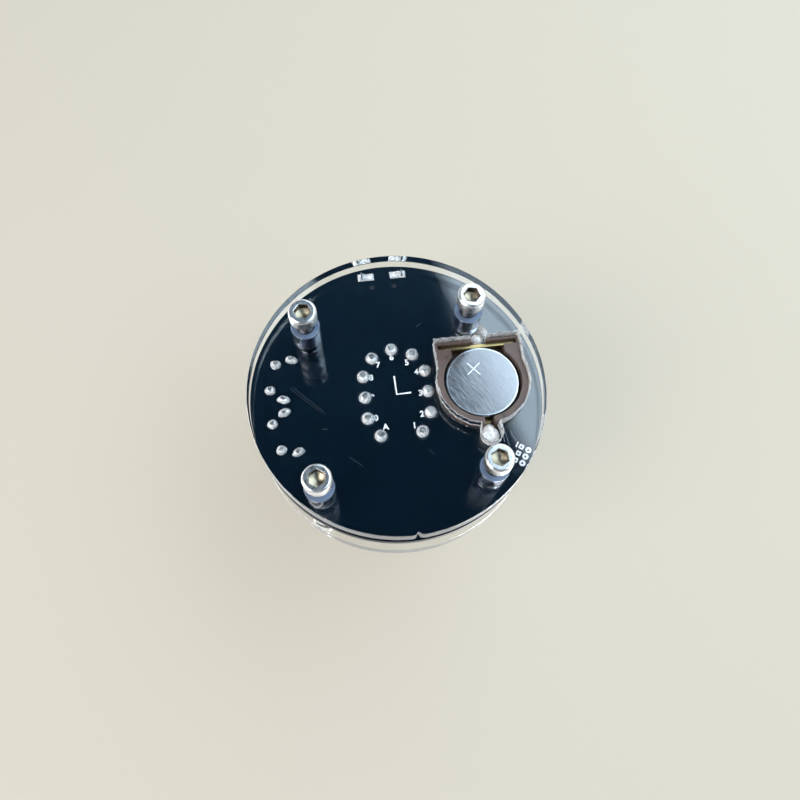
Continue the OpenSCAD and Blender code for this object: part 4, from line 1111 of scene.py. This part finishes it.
@piece(CAP_CAN, RESIN, replaces=["input_capacitor"])
def input_capacitor_can(bm):
    """A can on a small plastic foot, with a dark segment on its top."""
    half = half_width("input_capacitor")
    at = shifted(*middle("input_capacitor").xy)
    z, top = low("input_capacitor").z, high("input_capacitor").z
    r = half - 0.15
    cut = half - 0.85
    outline = rounded([(-half, -half), (half, -half), (half, cut), (cut, half), (-cut, half),
                       (-half, cut)], 0.15, closed=True, steps=2)
    moulded_base(bm, at, outline, ((0.99, z), (1, z + 0.06), (1, z + 0.55), (0.985, z + 0.6)), 1)
    can = rounded([(0.0, top - 0.08), (r * 0.8, top - 0.08), (r * 0.86, top), (r, top),
                   (r, z + 1.5), (r - 0.25, z + 1.25), (r - 0.25, z + 1.05), (r, z + 0.8),
                   (r, z + 0.6)], 0.12)
    lathe(bm, can, at)
    arc = [polar(r * 0.79, radians(200 + 140 * k / 24)) for k in range(25)]
    segment = [bm.verts.new(at @ Vector((*p, top - 0.075))) for p in arc]
    bm.faces.new(segment).material_index = 1


@piece(CRYSTAL, replaces=["crystal"])
def crystal_drawn(bm):
    r = half_width("crystal")
    x, y, z = middle("crystal").x, low("crystal").y + 1.15, BOARD_TOP + r
    length = high("crystal").y - y
    can = rounded([(0.0, 0.02), (r * 0.7, 0.02), (r * 0.74, 0.0), (r, 0.0), (r, 0.35),
                   (r - 0.06, 0.45), (r - 0.06, length), (0.0, length)], 0.2, steps=3)
    lathe(bm, can, along((x, y, z), (0, 1, 0)), 48)
    for s in (-1, 1):
        bend = ((0.05, z), (-0.75, z), (-0.95, z - 0.15), (-1.0, z - 0.4), (-1.0, BOARD_TOP))
        wire(bm, [(x + s * 0.4, y + run, rise) for run, rise in bend], 0.15, 10)


@piece(SOLDER)
def chip_ends(bm):
    """The tinned ends of the two-terminal parts, whose places follow from the boxes round them."""
    half = Vector((1.0, 0.625, 0))
    pitch, rise = 2.2, 0.58
    first, last = low("resistors") + half, high("resistors") - half
    places = [(first.x, last.y - pitch * k, rise) for k in range(3)]
    places += [(last.x, first.y + pitch * k, rise) for k in range(3)]
    pitch, rise = 2.0, 1.13
    first, last = low("ceramic_capacitors") + half, high("ceramic_capacitors") - half
    places += [(s * last.x, first.y + pitch * k, rise) for s in (-1, 1) for k in range(2)]
    places.append((first.x, last.y, rise))
    for x, y, rise in places:
        for s in (-1, 1):
            block(bm, shifted(x + s * 0.81, y, BOARD_TOP + rise / 2), 0.42, 1.3, rise)
            block(bm, shifted(x + s * 1.12, y, BOARD_TOP + 0.06), 0.5, 1.35, 0.12)
    bmesh.ops.bevel(bm, geom=list(bm.edges), offset=0.06, segments=2, affect="EDGES")


def dress_nodes():
    """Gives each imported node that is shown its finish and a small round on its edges."""
    for finish, name in ((f, name) for f, names in NODE_FINISHES for name in names.split()):
        obj = frame["nodes"][name]
        obj.data.materials.clear()
        obj.data.materials.append(finish)
        setting(obj.modifiers.new("weld", "WELD"), merge_threshold=0.002 * MM)
        setting(obj.modifiers.new("edges", "BEVEL"), width=EDGE_ROUND.get(name, EDGE_R) * MM,
                segments=2, limit_method="ANGLE", angle_limit=radians(50),
                use_clamp_overlap=True)
        smooth(obj, 30)


# ---- stage, light and camera

TABLE_COLOR = (0.5, 0.45, 0.375)
BACKDROP = (0.7, 0.685, 0.6)
PALE = (0.95, 0.95, 0.93)


def straight_rays(tree):
    """1 for rays from the camera that no more than pass through clear things, 0 for others."""
    path = tree.nodes.new("ShaderNodeLightPath").outputs
    result = 1.0
    for output in ("Diffuse Depth", "Glossy Depth", "Is Shadow Ray"):
        none_yet = math_node(tree, "LESS_THAN", path[output], 0.5)
        result = math_node(tree, "MULTIPLY", result, none_yet)
    return result


def table_material(name):
    """A pale surface that shows from its front alone and fades into the backdrop far out."""
    mat = bpy.data.materials.new(name)
    mat.use_nodes = True
    tree = mat.node_tree
    tree.nodes.remove(tree.nodes["Principled BSDF"])
    place = shade(tree, "TexCoord", "Object")
    fade = shade(tree, "MapRange", "Result", {
        "Value": shade(tree, "VectorMath", "Value", {0: place}, operation="LENGTH"),
        "From Min": 0.12, "From Max": 0.45, "To Min": 0.55}, interpolation_type="SMOOTHSTEP")
    surface = shade(tree, "MixShader", "Shader", {
        "Fac": fade, 1: shade(tree, "BsdfDiffuse", "BSDF", {"Color": rgba(TABLE_COLOR)}),
        2: shade(tree, "Emission", "Emission", {"Color": rgba(BACKDROP)})})
    front = math_node(tree, "SUBTRACT", 1.0, shade(tree, "NewGeometry", "Backfacing"))
    result = shade(tree, "MixShader", "Shader", {
        "Fac": math_node(tree, "MULTIPLY", front, straight_rays(tree)),
        1: shade(tree, "BsdfTransparent", "BSDF"), 2: surface})
    fill(tree.nodes["Material Output"], {"Surface": result})
    return mat


def table(name, z, facing):
    """A large pale plane that faces up (1) or down (-1)."""
    half = 3.0
    corners = [(-half, -half, 0), (half, -half, 0), (half, half, 0), (-half, half, 0)]
    mesh = bpy.data.meshes.new(name)
    mesh.from_pydata(corners, [], [(0, 1, 2, 3)[::facing]])
    mesh.materials.append(table_material(name))
    obj = new_object(name, mesh)
    obj.location.z = z * MM


def area_lamp(name, width, height, power, color, place, turn):
    light = setting(
        bpy.data.lights.new(name, "AREA"), shape="RECTANGLE", size=width * MM,
        size_y=height * MM, energy=power, color=color)
    new_object(name, light).matrix_world = Matrix.Translation(place * MM) @ turn.to_4x4()


def lamp(name, place, size, power):
    """A soft square lamp that faces the clock."""
    place = Vector(place)
    aim = (Vector((0, 0, 20)) - place).normalized().to_track_quat("-Z", "Y").to_matrix()
    area_lamp(name, size, size, power, (1, 1, 1), place, aim)


def window(z, near, far, depth, radiance, color):
    """A level lamp under the clock, left of the line from near to far, with a soft edge there."""
    near = Vector((*near, z))
    run = (Vector((*far, z)) - near).normalized()
    across = Vector((-run.y, run.x, 0))
    turn = Matrix((run, across, run.cross(across))).transposed() @ Matrix.Rotation(pi, 3, "X")
    length = 900.0
    layers = 5
    power = radiance / layers * pi * length * depth * MM * MM
    for k in range(layers):
        step = across * (depth / 2 + 3.0 * (k - (layers - 1) / 2)) + Vector((0, 0, -2.0 * k))
        area_lamp(f"window_{k}", length, depth, power, color, near + step, turn)


def world():
    """A room, dim below and pale above, of which the camera sees a plain backdrop."""
    scene_world = bpy.data.worlds.new("room")
    bpy.context.scene.world = scene_world
    scene_world.use_nodes = True
    tree = scene_world.node_tree
    normal = shade(tree, "TexCoord", "Generated")
    share = shade(tree, "MapRange", "Result", {
        "Value": shade(tree, "SeparateXYZ", "Z", {"Vector": normal}), "From Min": -1.0})
    ramp = shade(tree, "ValToRGB", "Color", {"Fac": share})
    stops = ramp.node.color_ramp.elements
    stops[0].color = rgba((0, 0.006, 0.01))
    stops[1].color = rgba(PALE)
    for position, color in ((0.08, (0.03, 0.08, 0.15)), (0.32, (0.05, 0.065, 0.09)),
                            (0.5, (0.9, 0.9, 0.87)), (0.62, PALE)):
        stops.new(position).color = rgba(color)
    room = tree.nodes["Background"]
    fill(room, {"Color": ramp})
    path = tree.nodes.new("ShaderNodeLightPath").outputs
    result = room.outputs[0]
    for ray, color in (("Is Diffuse Ray", (0.4, 0.4, 0.4)), ("Is Camera Ray", BACKDROP)):
        plain = shade(tree, "Background", "Background", {"Color": rgba(color)})
        result = shade(tree, "MixShader", "Shader", {"Fac": path[ray], 1: result, 2: plain})
    fill(tree.nodes["World Output"], {"Surface": result})


def camera():
    """The photograph's view, from below and in front of the clock."""
    place = Vector((8.124, -44.797, -106.426))
    right = Vector((-0.992206, -0.121827, -0.02618))
    up = Vector((-0.105306, 0.932115, -0.34651))
    back = Vector((0.066617, -0.341052, -0.93768))
    obj = new_object("camera", setting(
        bpy.data.cameras.new("camera"), lens=33.75, sensor_width=36.0, clip_start=0.005))
    turn = Matrix((right, up, back)).transposed().to_4x4()
    obj.matrix_world = Matrix.Translation(place * MM) @ turn
    bpy.context.scene.camera = obj


def stage():
    table("table_under_tube", TUBE_TOP + 0.02, -1)
    table("table_under_feet", -0.01, 1)
    window(-300, (-92.9, 78.6), (-62.8, 192.3), 500.0, 3.7, (0.76, 0.95, 1.1))
    lamp("lower_fill", (300, -120, -240), 240, 1.6)
    lamp("upper_key", (-260, -220, 380), 300, 3.0)
    lamp("upper_fill", (320, 120, 300), 300, 1.4)
    world()
    bpy.context.scene.view_settings.view_transform = "Standard"


# ---- the clock

dress_nodes()
for make in BUILDS:
    make()
for name in ("base_plate_clear", "top_plate_clear", "sleeves", "tube_envelope"):
    bpy.data.objects[name].visible_shadow = False
camera()
stage()
